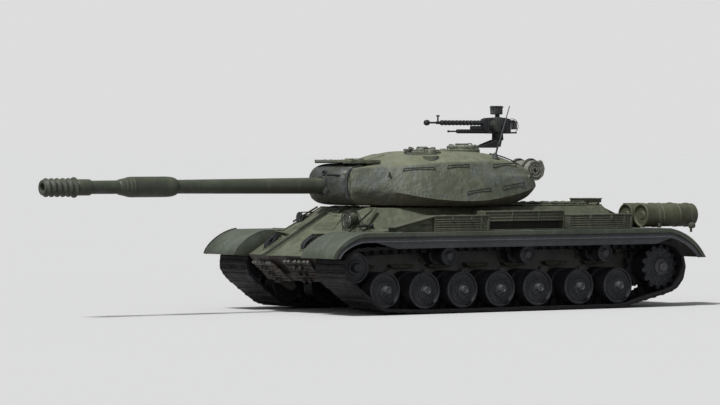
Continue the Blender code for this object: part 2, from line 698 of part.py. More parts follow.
def aa_ring():
    """The turning ring of the anti-aircraft gun, with its arm and fork."""
    low = AA_Z
    ring = cylinder((AA_X, AA_Y, 0), "Z", AA_R, low, low + 2.6, 20)
    hole = cylinder((AA_X, AA_Y, 0), "Z", 12.2, low - 5, low + 5, 20)
    arm = [(-147, 144.2), (-174, 144.4), (-177.6, 147.4), (-178.4, 154.0)]
    arm += [(-171.4, 154.0), (-171, 151.0), (-160, 147.0), (-147, 145.9)]
    fork = [(-178.4, 152), (-171.4, 152), (-171.8, 161), (-173.4, 162.8), (-175.8, 162.8), (-177.6, 161)]
    cheeks = [prism(fork, "Y", AA_Y + a, AA_Y + b) for a, b in ((-4.9, -3.3), (3.3, 4.9))]
    shapes = [ring, prism(arm, "Y", AA_Y - 4.9, AA_Y + 4.9)] + cheeks
    pin_hole = cylinder((MG_PIVOT_X, AA_Y, MG_PIVOT_Z), "Y", 1.3, -9, 9, 12)
    part("aa_ring", shapes, "armour_green", (AA_X, AA_Y, low), [hole, pin_hole])


def loader_hatch():
    """A flat lid on the ring. The gun above it leaves no room to lift it, so it swings aside."""
    disc = cylinder((AA_X, AA_Y, 0), "Z", 12.8, AA_Z + 2.9, AA_Z + 3.8, 20)
    lug = box((AA_X + 10, AA_X + 14.6), (AA_Y - 2, AA_Y + 2), (AA_Z + 2.9, AA_Z + 3.8))
    block = box((AA_X - 3, AA_X + 5), (AA_Y - 5, AA_Y + 5), (AA_Z + 3.5, AA_Z + 5.2))
    part("loader_hatch", [disc, lug, block], "armour_green", (AA_X + 13.3, AA_Y, AA_Z + 3.3))


def machine_gun():
    y = AA_Y
    profile = [(-165, 0), (-165, 2.4), (-109.7, 2.4), (-109.0, 0.9)]
    profile += [(-96.6, 0.9), (-96.0, 2.0), (-92.4, 2.0), (-91.8, 0)]
    barrel = turned(profile, "X", (0, y, MG_AXIS_Z), 12)
    profile = [(-172, 0), (-172, 1.9), (-127.6, 1.9), (-127.2, 0.7), (-118.0, 0.7), (-118.0, 0)]
    lower = turned(profile, "X", (0, y, 159.3), 10)
    receiver = box((-188.2, -161.5), (y - 2.9, y + 2.9), (157.2, 171.4))
    ammunition = box((-181, -166.5), (y + 2.5, y + 9.5), (163.6, 171.2))
    sight = box((-178.4, -168.6), (y - 4, y + 4), (174.6, 183.0))
    stalk = box((-175, -173), (y - 1.5, y + 1.5), (170, 176))
    post = box((-107.6, -106.4), (y - 0.6, y + 0.6), (167.1, 174.0))
    grips = [box((-193.6, -187.8), (y + a - 0.8, y + a + 0.8), (166.0, 169.8)) for a in (-2.0, 2.0)]
    pin = cylinder((MG_PIVOT_X, y, MG_PIVOT_Z), "Y", 1.0, -4.8, 4.8, 12)
    shapes = [receiver, barrel, lower, ammunition, stalk, sight, post, pin] + grips
    part("machine_gun", shapes, "gun_metal", (MG_PIVOT_X, y, MG_PIVOT_Z))


AERIAL_FOOT = (-122.4, 44.0, 139.5)
AERIAL_TIP = (-138.6, 44.0, 182.0)


def aerial():
    foot, tip = Vector(AERIAL_FOOT), Vector(AERIAL_TIP)
    rod = cylinder((0, 0, 0), "Z", 0.5, 3.0, (tip - foot).length, 6, end_radius=0.3)
    lean = Vector((0, 0, 1)).rotation_difference(tip - foot)
    bmesh.ops.rotate(rod, matrix=lean.to_matrix(), verts=rod.verts)
    bmesh.ops.translate(rod, vec=foot, verts=rod.verts)
    cone = cylinder(AERIAL_FOOT, "Z", 3.0, 0, 5.0, 12, end_radius=1.0)
    part("aerial", [cone, rod], "gun_metal")


def tarpaulin():
    roll = cylinder((-183.8, 0, 125.2), "Y", 9.8, -8, 24, 20)
    part("tarpaulin_roll", [roll], "canvas")


def main():
    clear_scene()
    lower_hull()
    upper_hull()
    engine_deck()
    fenders()
    tracks()
    stowage_boxes()
    fuel_drums()
    lamps()
    spare_links()
    inner_works()
    belly_pieces()
    driver_hatch()
    road_wheels()
    return_rollers()
    idlers()
    sprockets()
    turret_shell()
    mantlet()
    gun_barrel()
    commander_hatch()
    aa_ring()
    loader_hatch()
    machine_gun()
    aerial()
    tarpaulin()


main()
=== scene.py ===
# %% [markdown]
# # A radio-controlled tank, piece by piece
#
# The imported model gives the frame: every part of the tank at its true size and place. This lesson
# clothes it. Each cell takes one piece or one finish, says what it is on the real tank, and
# models it with Blender's own tools. Lengths are written in millimetres, as on a drawing, and the
# helpers below turn them into metres.

# %% Load the frame
import math

import bpy
from mathutils import Matrix, Vector


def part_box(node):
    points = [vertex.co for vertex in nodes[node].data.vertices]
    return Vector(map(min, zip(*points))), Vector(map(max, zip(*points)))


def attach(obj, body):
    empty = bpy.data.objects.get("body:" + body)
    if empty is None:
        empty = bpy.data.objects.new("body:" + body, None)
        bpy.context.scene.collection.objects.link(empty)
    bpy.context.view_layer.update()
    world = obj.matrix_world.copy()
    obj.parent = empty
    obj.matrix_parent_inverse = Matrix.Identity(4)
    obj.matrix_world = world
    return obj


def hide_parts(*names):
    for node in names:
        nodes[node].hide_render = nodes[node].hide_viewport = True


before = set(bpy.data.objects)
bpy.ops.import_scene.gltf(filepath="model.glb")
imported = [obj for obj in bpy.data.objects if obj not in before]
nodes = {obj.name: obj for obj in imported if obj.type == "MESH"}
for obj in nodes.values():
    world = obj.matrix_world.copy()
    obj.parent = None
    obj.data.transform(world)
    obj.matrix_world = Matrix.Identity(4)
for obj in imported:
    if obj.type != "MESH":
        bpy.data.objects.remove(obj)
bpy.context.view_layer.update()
MM = 0.001
SIDES = (("left", 1), ("right", -1))

# %% [markdown]
# ## The camera
#
# A long lens from far away keeps the tank's proportions true, as in a catalogue view. The camera
# stands level with the turret, off the left of the bow.

# %% Camera
CAMERA_TARGET = Vector((-5.3, 0.0, 95.8)) * MM
CAMERA_TURN, CAMERA_LIFT = math.radians(55.04), math.radians(0.86)
CAMERA_DISTANCE = 3.331

outward = Vector(
    (
        math.cos(CAMERA_TURN) * math.cos(CAMERA_LIFT),
        math.sin(CAMERA_TURN) * math.cos(CAMERA_LIFT),
        math.sin(CAMERA_LIFT),
    )
)
lens = bpy.data.cameras.new("camera")
lens.lens = 187.6
lens.sensor_width = 36.0
lens.clip_end = 200.0
camera = bpy.data.objects.new("camera", lens)
camera.location = CAMERA_TARGET + outward * CAMERA_DISTANCE
camera.rotation_euler = (-outward).to_track_quat("-Z", "Y").to_euler()
bpy.context.scene.collection.objects.link(camera)
bpy.context.scene.camera = camera
print("the camera stands", round(camera.location.z, 3), "m above the floor")

# %% [markdown]
# ## Node helpers
#
# Every finish here is a net of shader nodes. Two small helpers keep the nets short: one adds a
# node and sets its inputs, plain values or links, and one makes a fresh material with its shader.


# %% Node helpers
def node(tree, kind, settings=None, **inputs):
    """Adds a node. An input given as a socket is linked, and one given as a value is set."""
    made = tree.nodes.new(kind)
    for name, value in (settings or {}).items():
        setattr(made, name, value)
    for name, value in inputs.items():
        slot_name = name.replace("_", " ")
        if slot_name.isdigit() or slot_name[0] == "i" and slot_name[1:].isdigit():
            target = made.inputs[int(slot_name.lstrip("i"))]
        else:
            target = made.inputs[slot_name]
        if isinstance(value, bpy.types.NodeSocket):
            tree.links.new(value, target)
        else:
            target.default_value = value
    return made


def new_material(name):
    """An empty material with one shader, and the coordinates that its patterns use."""
    material = bpy.data.materials.new(name)
    material.use_nodes = True
    tree = material.node_tree
    tree.nodes.clear()
    shader = node(tree, "ShaderNodeBsdfPrincipled")
    output = node(tree, "ShaderNodeOutputMaterial")
    tree.links.new(shader.outputs[0], output.inputs[0])
    coords = node(tree, "ShaderNodeTexCoord").outputs["Object"]
    return material, tree, shader, coords


def noise(tree, coords, scale, detail=4.0, roughness=0.6, stretch=None):
    """Soft random patches. stretch squeezes the pattern along an axis, which gives streaks."""
    if stretch:
        coords = node(tree, "ShaderNodeMapping", Vector=coords, Scale=stretch).outputs[0]
    made = node(tree, "ShaderNodeTexNoise", Vector=coords, Scale=scale, Detail=detail,
        Roughness=roughness)
    return made.outputs["Fac"]


def between(tree, value, low, high, out_low=0.0, out_high=1.0):
    """Stretches a value, so that low becomes out_low and high becomes out_high."""
    made = node(tree, "ShaderNodeMapRange", Value=value)
    for name, number in zip(("From Min", "From Max", "To Min", "To Max"),
            (low, high, out_low, out_high)):
        made.inputs[name].default_value = number
    return made.outputs[0]


def mixed(tree, share, first, second):
    """A mix of two colours by a share from 0 to 1."""
    made = node(tree, "ShaderNodeMix", {"data_type": "RGBA"})
    for place, value in ((0, share), (6, first), (7, second)):
        if isinstance(value, bpy.types.NodeSocket):
            tree.links.new(value, made.inputs[place])
        elif place == 0:
            made.inputs[0].default_value = value
        else:
            made.inputs[place].default_value = (*value, 1.0)
    return made.outputs[2]


def sum_of(tree, operation, first, second):
    return node(tree, "ShaderNodeMath", {"operation": operation}, i0=first, i1=second).outputs[0]


print("node helpers are ready")

# %% [markdown]
# ## Weathered paint
#
# The real tank wears a flat olive green over steel. Such paint is never one colour: it fades in
# patches, rain draws streaks down it, dust settles on what faces up, and the edges rub pale.
# Some of the colour is painted light as well: bluish patches stand for the sky's reflection, and
# the pale tone on what faces up is painted top light as much as dust. Each of these is one
# pattern, laid over the last:
#
# - large soft patches between a darker and a lighter green,
# - streaks, which are noise squeezed along the height,
# - on some paints, bluish patches of painted sky reflection,
# - a darker, redder tone on what faces down,
# - pale dust and painted top light, by how far the surface faces up,
# - worn edges, found by the Bevel node, which bends the normal near an edge,
# - a fine bump, coarser on cast steel than on rolled plate.


# %% Weathered paint
def weathered_paint(name, dark, light, pale_dust_and_light, grain=0.25, grain_scale=700.0, top_dust_and_light=0.5, worn=0.5,
        shine=0.48, sky_reflection=None, dent=0.35):
    material, tree, shader, coords = new_material(name)
    patches = between(tree, noise(tree, coords, 34.0, 6.0, 0.62), 0.36, 0.66)
    colour = mixed(tree, patches, dark, light)
    speckle = between(tree, noise(tree, coords, 260.0, 5.0, 0.75), 0.40, 0.72)
    colour = mixed(tree, sum_of(tree, "MULTIPLY", speckle, 0.45), colour, dark)
    streaks = between(tree, noise(tree, coords, 120.0, 4.0, 0.6, (1.0, 1.0, 0.10)), 0.52, 0.74)
    colour = mixed(tree, sum_of(tree, "MULTIPLY", streaks, 0.35), colour, pale_dust_and_light)
    facing = node(tree, "ShaderNodeNewGeometry").outputs["Normal"]
    height = node(tree, "ShaderNodeSeparateXYZ", Vector=facing).outputs["Z"]
    # Bluish patches of painted sky reflection, on the paints that are given a colour for it.
    if sky_reflection:
        reflection_share = between(tree, noise(tree, coords, 42.0, 6.0, 0.7), 0.50, 0.66, 0.0, 0.75)
        colour = mixed(tree, reflection_share, colour, sky_reflection)
    # Surfaces that face down get a darker, redder tone.
    under = between(tree, height, -0.10, -0.55, 0.0, 0.55)
    colour = mixed(tree, under, colour, tuple(v * 0.9 for v in (dark[0] * 1.25, dark[1] * 0.8,
        dark[2] * 0.85)))
    # What faces up turns pale: settled dust, and painted top light as well.
    dust_and_top_light = between(tree, height, 0.50, 0.97, 0.0, top_dust_and_light)
    drift = between(tree, noise(tree, coords, 60.0, 5.0, 0.7), 0.30, 0.65, 0.35, 1.0)
    colour = mixed(tree, sum_of(tree, "MULTIPLY", dust_and_top_light, drift), colour, pale_dust_and_light)
    rounded = node(tree, "ShaderNodeBevel", {"samples": 4}, Radius=0.0007).outputs[0]
    same = node(tree, "ShaderNodeVectorMath", {"operation": "DOT_PRODUCT"}, i0=rounded, i1=facing)
    edge = between(tree, same.outputs["Value"], 0.985, 0.86)
    chips = between(tree, noise(tree, coords, 190.0, 6.0, 0.8), 0.42, 0.58)
    rubbed = sum_of(tree, "MULTIPLY", sum_of(tree, "MULTIPLY", edge, chips), worn)
    colour = mixed(tree, rubbed, colour, tuple(min(1.0, v * 1.9 + 0.02) for v in pale_dust_and_light))
    tree.links.new(colour, shader.inputs["Base Color"])
    sheen = between(tree, noise(tree, coords, 90.0, 5.0, 0.7), 0.3, 0.7, shine, shine + 0.26)
    tree.links.new(sheen, shader.inputs["Roughness"])
    rough = noise(tree, coords, grain_scale, 5.0, 0.7)
    dents = noise(tree, coords, 70.0 + 90.0 * dent, 3.0 + 2.0 * dent, 0.5)
    fine = node(tree, "ShaderNodeBump", Height=rough, Strength=grain, Distance=0.0006)
    broad = node(tree, "ShaderNodeBump", Height=dents, Strength=dent, Distance=0.0022,
        Normal=fine.outputs[0])
    tree.links.new(broad.outputs[0], shader.inputs["Normal"])
    return material


plate_paint = weathered_paint("plate_paint", (0.026, 0.031, 0.018), (0.050, 0.058, 0.030),
    (0.245, 0.262, 0.182), top_dust_and_light=0.62, dent=0.5)
cast_paint = weathered_paint("cast_paint", (0.072, 0.080, 0.056), (0.122, 0.133, 0.090),
    (0.270, 0.285, 0.185), grain=0.7, grain_scale=360.0, top_dust_and_light=0.75, shine=0.38,
    sky_reflection=(0.125, 0.140, 0.150), dent=0.8)
fender_paint = weathered_paint("fender_paint", (0.046, 0.055, 0.040), (0.084, 0.097, 0.068),
    (0.140, 0.159, 0.122), top_dust_and_light=0.6, shine=0.36, sky_reflection=(0.105, 0.124, 0.108))
box_paint = weathered_paint("box_paint", (0.055, 0.060, 0.042), (0.098, 0.105, 0.072),
    (0.150, 0.156, 0.112))
drum_paint = weathered_paint("drum_paint", (0.046, 0.051, 0.029), (0.092, 0.099, 0.054),
    (0.145, 0.150, 0.098), grain=0.3)
tube_paint = weathered_paint("tube_paint", (0.044, 0.052, 0.037), (0.062, 0.072, 0.050),
    (0.150, 0.166, 0.112), grain=0.12, top_dust_and_light=0.35, worn=0.35)
print("six paints")

# %% [markdown]
# ## Steel, dirt and the rest
#
# The running gear is bare blue-black steel under dried mud. It is mostly rough, with a few
# polished rims where it rubs. The small guns are dark gunmetal, the spare links are rusty, and
# the tarpaulin is coarse canvas whose weave follows its own surface.


# %% Dark steel
def dirty_steel(name, dark, mud, mud_share=0.5, polish=(0.16, 0.17, 0.19), metal=0.35, gloss=0.5):
    material, tree, shader, coords = new_material(name)
    cake = between(tree, noise(tree, coords, 55.0, 6.0, 0.7), 0.42, 0.68, 0.0, mud_share)
    colour = mixed(tree, cake, dark, mud)
    speckle = between(tree, noise(tree, coords, 330.0, 5.0, 0.8), 0.55, 0.75, 0.0, 0.45)
    colour = mixed(tree, speckle, colour, mud)
    facing = node(tree, "ShaderNodeNewGeometry").outputs["Normal"]
    rounded = node(tree, "ShaderNodeBevel", {"samples": 4}, Radius=0.0008).outputs[0]
    same = node(tree, "ShaderNodeVectorMath", {"operation": "DOT_PRODUCT"}, i0=rounded, i1=facing)
    edge = between(tree, same.outputs["Value"], 0.98, 0.80, 0.0, 0.65)
    rubs = between(tree, noise(tree, coords, 120.0, 5.0, 0.7), 0.35, 0.55)
    colour = mixed(tree, sum_of(tree, "MULTIPLY", edge, rubs), colour, polish)
    tree.links.new(colour, shader.inputs["Base Color"])
    shader.inputs["Metallic"].default_value = metal
    shader.inputs["Specular IOR Level"].default_value = gloss
    sheen = between(tree, noise(tree, coords, 140.0, 4.0, 0.7), 0.3, 0.7, 0.42, 0.72)
    tree.links.new(sheen, shader.inputs["Roughness"])
    bump = node(tree, "ShaderNodeBump", Height=noise(tree, coords, 520.0, 5.0, 0.75), Strength=0.5,
        Distance=0.0006)
    tree.links.new(bump.outputs[0], shader.inputs["Normal"])
    return material


wheel_steel = dirty_steel("wheel_steel", (0.022, 0.023, 0.028), (0.048, 0.048, 0.052), 0.6)
track_steel = dirty_steel("track_steel", (0.010, 0.010, 0.013), (0.022, 0.018, 0.015), 0.7,
    polish=(0.05, 0.05, 0.055), metal=0.0, gloss=0.18)
hub_steel = dirty_steel("hub_steel", (0.070, 0.071, 0.076), (0.110, 0.108, 0.106), 0.6)
link_rust = dirty_steel("link_rust", (0.030, 0.026, 0.024), (0.078, 0.060, 0.048), 0.8,
    polish=(0.22, 0.21, 0.19))
gun_steel = dirty_steel("gun_steel", (0.024, 0.025, 0.028), (0.040, 0.040, 0.042), 0.4,
    polish=(0.13, 0.135, 0.15))
tool_steel = dirty_steel("tool_steel", (0.035, 0.036, 0.036), (0.060, 0.058, 0.050), 0.5)
print("six steels")


# %% [markdown]
# ## Canvas, glass and mouldings
#
# The rest of the finishes. Coarse cloth has a woven bump. Glass and moulded plastic share one
# net: a slight cloudiness under a fine skin.

# %% Canvas, glass and mouldings
def canvas_cloth(name, dark, light):
    """Coarse cloth: two crossing wave patterns make the weave, along the roll and round it."""
    material, tree, shader, coords = new_material(name)
    patches = between(tree, noise(tree, coords, 80.0, 5.0, 0.65), 0.35, 0.65)
    colour = mixed(tree, patches, dark, light)
    heights = []
    for direction in ("Y", "Z"):
        wave = node(tree, "ShaderNodeTexWave", {"bands_direction": direction}, Vector=coords,
            Scale=420.0, Distortion=1.2, Detail=1.0)
        heights.append(wave.outputs["Fac"])
    weave = sum_of(tree, "ADD", *heights)
    # The weave's low places are darker: painted shade between the threads.
    colour = mixed(tree, between(tree, weave, 0.4, 1.6, 0.35, 0.0), colour, dark)
    tree.links.new(colour, shader.inputs["Base Color"])
    shader.inputs["Roughness"].default_value = 0.93
    shader.inputs["Sheen Weight"].default_value = 0.25
    bump = node(tree, "ShaderNodeBump", Height=weave, Strength=0.4, Distance=0.0004)
    tree.links.new(bump.outputs[0], shader.inputs["Normal"])
    return material


def plain_moulding(name, dark, light, roughness, scale=160.0, metal=0.0, coat=0.0):
    """A moulded or glassy surface with slight cloudiness and a fine skin."""
    material, tree, shader, coords = new_material(name)
    clouds = between(tree, noise(tree, coords, scale, 5.0, 0.65), 0.35, 0.65)
    tree.links.new(mixed(tree, clouds, dark, light), shader.inputs["Base Color"])
    skin = between(tree, noise(tree, coords, scale * 2.2, 3.0), 0.3, 0.7, roughness,
        roughness + 0.12)
    tree.links.new(skin, shader.inputs["Roughness"])
    shader.inputs["Metallic"].default_value = metal
    shader.inputs["Coat Weight"].default_value = coat
    bump = node(tree, "ShaderNodeBump", Height=noise(tree, coords, 900.0, 3.0), Strength=0.12,
        Distance=0.0003)
    tree.links.new(bump.outputs[0], shader.inputs["Normal"])
    return material


roll_canvas = canvas_cloth("roll_canvas", (0.165, 0.168, 0.138), (0.290, 0.290, 0.250))
lamp_glass = plain_moulding("lamp_glass", (0.10, 0.11, 0.09), (0.16, 0.17, 0.14), 0.18, coat=0.4)
sight_glass = plain_moulding("sight_glass", (0.010, 0.012, 0.015), (0.030, 0.035, 0.040), 0.12,
    coat=0.5)
shadow_black = plain_moulding("shadow_black", (0.022, 0.022, 0.020), (0.034, 0.034, 0.031), 0.85)
tail_red = plain_moulding("tail_red", (0.10, 0.008, 0.006), (0.16, 0.015, 0.010), 0.25, coat=0.4)
battery_wrap = plain_moulding("battery_wrap", (0.016, 0.040, 0.130), (0.022, 0.060, 0.180), 0.35)
board_green = plain_moulding("board_green", (0.008, 0.090, 0.040), (0.014, 0.130, 0.055), 0.40)
case_black = plain_moulding("case_black", (0.014, 0.014, 0.015), (0.024, 0.024, 0.025), 0.55)
print("eight more finishes")

# %% [markdown]
# ## The studio
#
# A plain pale floor under a pale sky, with one broad lamp high on the left and soft light from
# all round. The camera sees the sky as a flat pale grey, and the floor is coloured so that it
# meets the sky without a line. Glossy and transparent surfaces see the same pale sky.

# %% Floor, sky and lamps
STUDIO_GREY = 0.723
SKY_LIGHT = 0.22

bpy.context.scene.view_settings.view_transform = "Standard"
world = bpy.data.worlds.new("studio")
bpy.context.scene.world = world
world.use_nodes = True
sky = world.node_tree
sky.nodes.clear()
paths = node(sky, "ShaderNodeLightPath")
seen = sum_of(sky, "MAXIMUM", paths.outputs["Is Camera Ray"], paths.outputs["Is Transmission Ray"])
lit = node(sky, "ShaderNodeBackground", Strength=SKY_LIGHT)
lit.inputs["Color"].default_value = (0.96, 0.98, 1.0, 1.0)
shown = node(sky, "ShaderNodeBackground", Strength=1.0)
shown.inputs["Color"].default_value = (STUDIO_GREY, STUDIO_GREY, STUDIO_GREY, 1.0)
either = node(sky, "ShaderNodeMixShader", i0=seen, i1=lit.outputs[0], i2=shown.outputs[0])
node(sky, "ShaderNodeOutputWorld", i0=either.outputs[0])


def sun(name, strength, spread, towards):
    """A lamp so far off that its light is parallel. towards is the way that it shines."""
    lamp = bpy.data.lights.new(name, "SUN")
    lamp.energy = strength
    lamp.angle = math.radians(spread)
    lamp_object = bpy.data.objects.new(name, lamp)
    lamp_object.rotation_euler = Vector(towards).to_track_quat("-Z", "Y").to_euler()
    bpy.context.scene.collection.objects.link(lamp_object)
    return lamp_object


sun("key_lamp", 3.2, 8.0, (-0.58, -0.21, -1.0))
sun("fill_lamp", 0.20, 40.0, (-0.75, -0.75, -0.35))
sun("room_light", 0.36, 60.0, (-0.57, -0.82, 0.03))

bpy.ops.mesh.primitive_plane_add(size=120.0)
floor = bpy.context.object
floor.name = "studio_floor"
floor_paint, floor_tree, floor_shader, floor_coords = new_material("floor_paint")
floor_clouds = between(floor_tree, noise(floor_tree, floor_coords, 3.0), 0.3, 0.7)
pale = mixed(floor_tree, floor_clouds, (0.643, 0.643, 0.643), (0.647, 0.647, 0.647))
floor_paths = node(floor_tree, "ShaderNodeLightPath")
direct = sum_of(floor_tree, "MAXIMUM", floor_paths.outputs["Is Camera Ray"],
    floor_paths.outputs["Is Glossy Ray"])
direct = sum_of(floor_tree, "MAXIMUM", direct, floor_paths.outputs["Is Transmission Ray"])
floor_colour = mixed(floor_tree, direct, (0.10, 0.10, 0.10), pale)
floor_tree.links.new(floor_colour, floor_shader.inputs["Base Color"])
floor_shader.inputs["Roughness"].default_value = 0.9
floor_shader.inputs["Specular IOR Level"].default_value = 0.0
floor.data.materials.append(floor_paint)
print("the studio has a floor, a sky and three lamps")

# %% [markdown]
# ## Modelling helpers
#
# A piece starts as a primitive and is shaped in edit mode. These helpers hold the strokes that
# come back again and again:
#
# - `bar` is a cube stretched between limits, with its edges bevelled;
# - `plate` is an outline pulled up to a thickness;
# - `turned` is a disc pulled along an axis and resized at each step, as on a lathe;
# - `wire` is a bent rod along a path;
# - `spread` copies a piece to many places, and `joined` makes several pieces one.


# %% Selecting and settling
def pick(*objects):
    """Selects just these objects, and makes the first active."""
    bpy.ops.object.select_all(action="DESELECT")
    for obj in objects:
        obj.select_set(True)
    bpy.context.view_layer.objects.active = objects[0]


def settle(obj):
    """Moves the object's place, turn and size into its mesh."""
    pick(obj)
    bpy.ops.object.transform_apply(location=True, rotation=True, scale=True)
    return obj


def with_modifier(obj, kind, **settings):
    """Adds a modifier and applies it."""
    pick(obj)
    modifier = obj.modifiers.new(kind.lower(), kind)
    for name, value in settings.items():
        setattr(modifier, name, value)
    bpy.ops.object.modifier_apply(modifier=modifier.name)
    return obj


def editing(select="SELECT"):
    """Enters edit mode, with everything or nothing selected."""
    bpy.ops.object.mode_set(mode="EDIT")
    bpy.ops.mesh.select_all(action=select)


def done_editing():
    bpy.ops.object.mode_set(mode="OBJECT")


def tidy_mesh(obj, smooth=32.0, bevel=0.0, segments=2, limit=35.0):
    """Faces out, edges bevelled, shading smooth except over sharp edges."""
    pick(obj)
    editing()
    bpy.ops.mesh.normals_make_consistent(inside=False)
    done_editing()
    if bevel:
        with_modifier(obj, "BEVEL", width=bevel * MM, segments=segments, limit_method="ANGLE",
            angle_limit=math.radians(limit))
    bpy.ops.object.shade_smooth_by_angle(angle=math.radians(smooth))
    return obj


def painted(obj, material):
    """Gives a piece its finish. With none, the piece waits for the finish of its whole."""
    if material:
        obj.data.materials.clear()
        obj.data.materials.append(material)
    return obj


def about(middle, half):
    """The pair of limits a half width to each side of the middle."""
    return middle - half, middle + half


def twin(obj):
    """A copy with its own mesh."""
    copy = obj.copy()
    copy.data = obj.data.copy()
    bpy.context.scene.collection.objects.link(copy)
    return copy


print("selecting helpers are ready")


# %% [markdown]
# ## Bars and plates
#
# Most pieces start as one of three shapes: a bar between pairs of limits, a plate cut to an
# outline, or a profile turned about an axis.

# %% Bars and plates
TURNS = {
    "X": Matrix.Rotation(math.pi / 2, 4, "Y"),
    "Y": Matrix.Rotation(-math.pi / 2, 4, "X"),
    "Z": Matrix.Identity(4),
}


def bar(x, y, z, bevel=0.3, material=None, segments=2):
    """A block between pairs of limits."""
    centre = [sum(pair) / 2 * MM for pair in (x, y, z)]
    size = [abs(pair[1] - pair[0]) * MM for pair in (x, y, z)]
    bpy.ops.mesh.primitive_cube_add(size=1.0, location=centre, scale=size)
    obj = settle(bpy.context.object)
    tidy_mesh(obj, bevel=bevel, segments=segments)
    return painted(obj, material)


def plate(outline, axis, low, high, bevel=0.25, material=None, smooth=32.0, segments=2):
    """An outline in the other two coordinates, pulled along an axis."""
    bpy.ops.mesh.primitive_circle_add(vertices=len(outline), radius=1.0, fill_type="NGON")
    obj = bpy.context.object
    for vertex, (a, b) in zip(obj.data.vertices, outline):
        place = {"X": (low, a, b), "Y": (a, low, b), "Z": (a, b, low)}[axis]
        vertex.co = Vector(place) * MM
    step = Vector([(high - low) * MM * (axis == name) for name in "XYZ"])
    editing()
    bpy.ops.mesh.extrude_region_move(TRANSFORM_OT_translate={"value": step})
    done_editing()
    tidy_mesh(obj, smooth=smooth, bevel=bevel, segments=segments)
    return painted(obj, material)


def turned(profile, axis, centre, sides=40, bevel=0.0, material=None, smooth=32.0):
    """A disc pulled along the axis, and resized at each (place, radius) of the profile."""
    place, radius = profile[0]
    bpy.ops.mesh.primitive_circle_add(vertices=sides, radius=radius * MM, fill_type="NGON",
        location=(0, 0, place * MM))
    obj = settle(bpy.context.object)
    editing()
    for new_place, new_radius in profile[1:]:
        step = (0, 0, (new_place - place) * MM)
        bpy.ops.mesh.extrude_region_move(TRANSFORM_OT_translate={"value": step})
        if new_radius != radius:
            grow = new_radius / radius
            bpy.ops.transform.resize(value=(grow, grow, 1.0), center_override=(0, 0,
                new_place * MM))
        place, radius = new_place, new_radius
    done_editing()
    tidy_mesh(obj, smooth=smooth, bevel=bevel)
    obj.data.transform(Matrix.Translation(Vector(centre) * MM) @ TURNS[axis])
    return painted(obj, material)


print("bars, plates and turned pieces")


# %% [markdown]
# ## Rods and wires
#
# Handles, brackets and rails are round rods, straight or bent, or flat beams laid from one
# point to another.

# %% Rods and wires
def rod(start, end, radius, sides=14, material=None, end_radius=None, bevel=0.0):
    """A straight round rod from one point to another."""
    start, end = Vector(start), Vector(end)
    run = end - start
    bpy.ops.mesh.primitive_cone_add(vertices=sides, radius1=radius * MM, depth=run.length * MM,
        radius2=(radius if end_radius is None else end_radius) * MM)
    obj = bpy.context.object
    turn = run.to_track_quat("Z", "Y").to_matrix().to_4x4()
    obj.data.transform(Matrix.Translation((start + end) / 2 * MM) @ turn)
    tidy_mesh(obj, bevel=bevel)
    return painted(obj, material)


def wire(points, radius, material=None, sides=8, closed=False):
    """A bent rod along a path of points."""
    bpy.ops.curve.primitive_nurbs_path_add()
    obj = bpy.context.object
    path = obj.data
    path.splines.clear()
    spline = path.splines.new("POLY")
    spline.points.add(len(points) - 1)
    for point, place in zip(spline.points, points):
        point.co = (*(Vector(place) * MM), 1.0)
    spline.use_cyclic_u = closed
    path.dimensions = "3D"
    path.bevel_depth = radius * MM
    path.bevel_resolution = max(1, sides // 4)
    path.use_fill_caps = not closed
    settle(obj)
    bpy.ops.object.convert(target="MESH")
    obj = bpy.context.object
    tidy_mesh(obj, smooth=60.0)
    return painted(obj, material)


def rounded_path(corners, radius, steps=4):
    """A path whose corners are rounded off, for bent rods."""
    corners = [Vector(c) for c in corners]
    path = [corners[0]]
    for before, corner, after in zip(corners, corners[1:], corners[2:]):
        inward, onward = (before - corner).normalized(), (after - corner).normalized()
        first, last = corner + inward * radius, corner + onward * radius
        for i in range(steps + 1):
            t = i / steps
            path.append((1 - t) ** 2 * first + 2 * t * (1 - t) * corner + t * t * last)
    return path + [corners[-1]]


def placed(obj, origin, along=(1, 0, 0), up=(0, 0, 1)):
    """Moves a piece modelled at the origin: its X turns to along, and its Z towards up."""
    along = Vector(along).normalized()
    across = Vector(up).cross(along).normalized()
    turn = Matrix((along, across, along.cross(across))).transposed().to_4x4()
    obj.data.transform(Matrix.Translation(Vector(origin) * MM) @ turn)
    return obj


def beam(start, end, width, height, up=(0, 0, 1), material=None, bevel=0.2):
    """A flat bar laid from one point to another, with its height towards up."""
    run = Vector(end) - Vector(start)
    bar_piece = bar((0, run.length), (-width / 2, width / 2), (0, height), bevel, material)
    return placed(bar_piece, start, run, up)


print("rods and wires")


# %% [markdown]
# ## Copies, joins and mirrors
#
# Pieces are copied, turned over for the other side, and joined into one mesh, which rides on
# its body. A piece that still has no finish gets the finish of the whole.

# %% Copies, joins and mirrors
def spread(obj, places):
    """Copies of a piece, each moved by a vector or a matrix. The piece itself is then removed."""
    made = []
    for place in places:
        matrix = place if isinstance(place, Matrix) else Matrix.Translation(Vector(place) * MM)
        made.append(twin(obj))
        made[-1].data.transform(matrix)
    bpy.data.objects.remove(obj, do_unlink=True)
    return made


def joined(objects, finish=None):
    """Several pieces made one mesh. Those still without a finish get the one given here."""
    for obj in objects:
        if not obj.data.materials:
            painted(obj, finish)
    pick(*objects)
    if len(objects) > 1:
        bpy.ops.object.join()
    return bpy.context.view_layer.objects.active


def mirrored(obj):
    """The same piece for the other side of the tank, with its faces turned out again."""
    copy = twin(obj)
    copy.data.transform(Matrix.Diagonal((1, -1, 1, 1)))
    copy.data.flip_normals()
    return copy


def for_side(obj, side):
    """The piece as it is for the left side, or turned over for the right."""
    if side > 0:
        return obj
    turned_over = mirrored(obj)
    bpy.data.objects.remove(obj, do_unlink=True)
    return turned_over


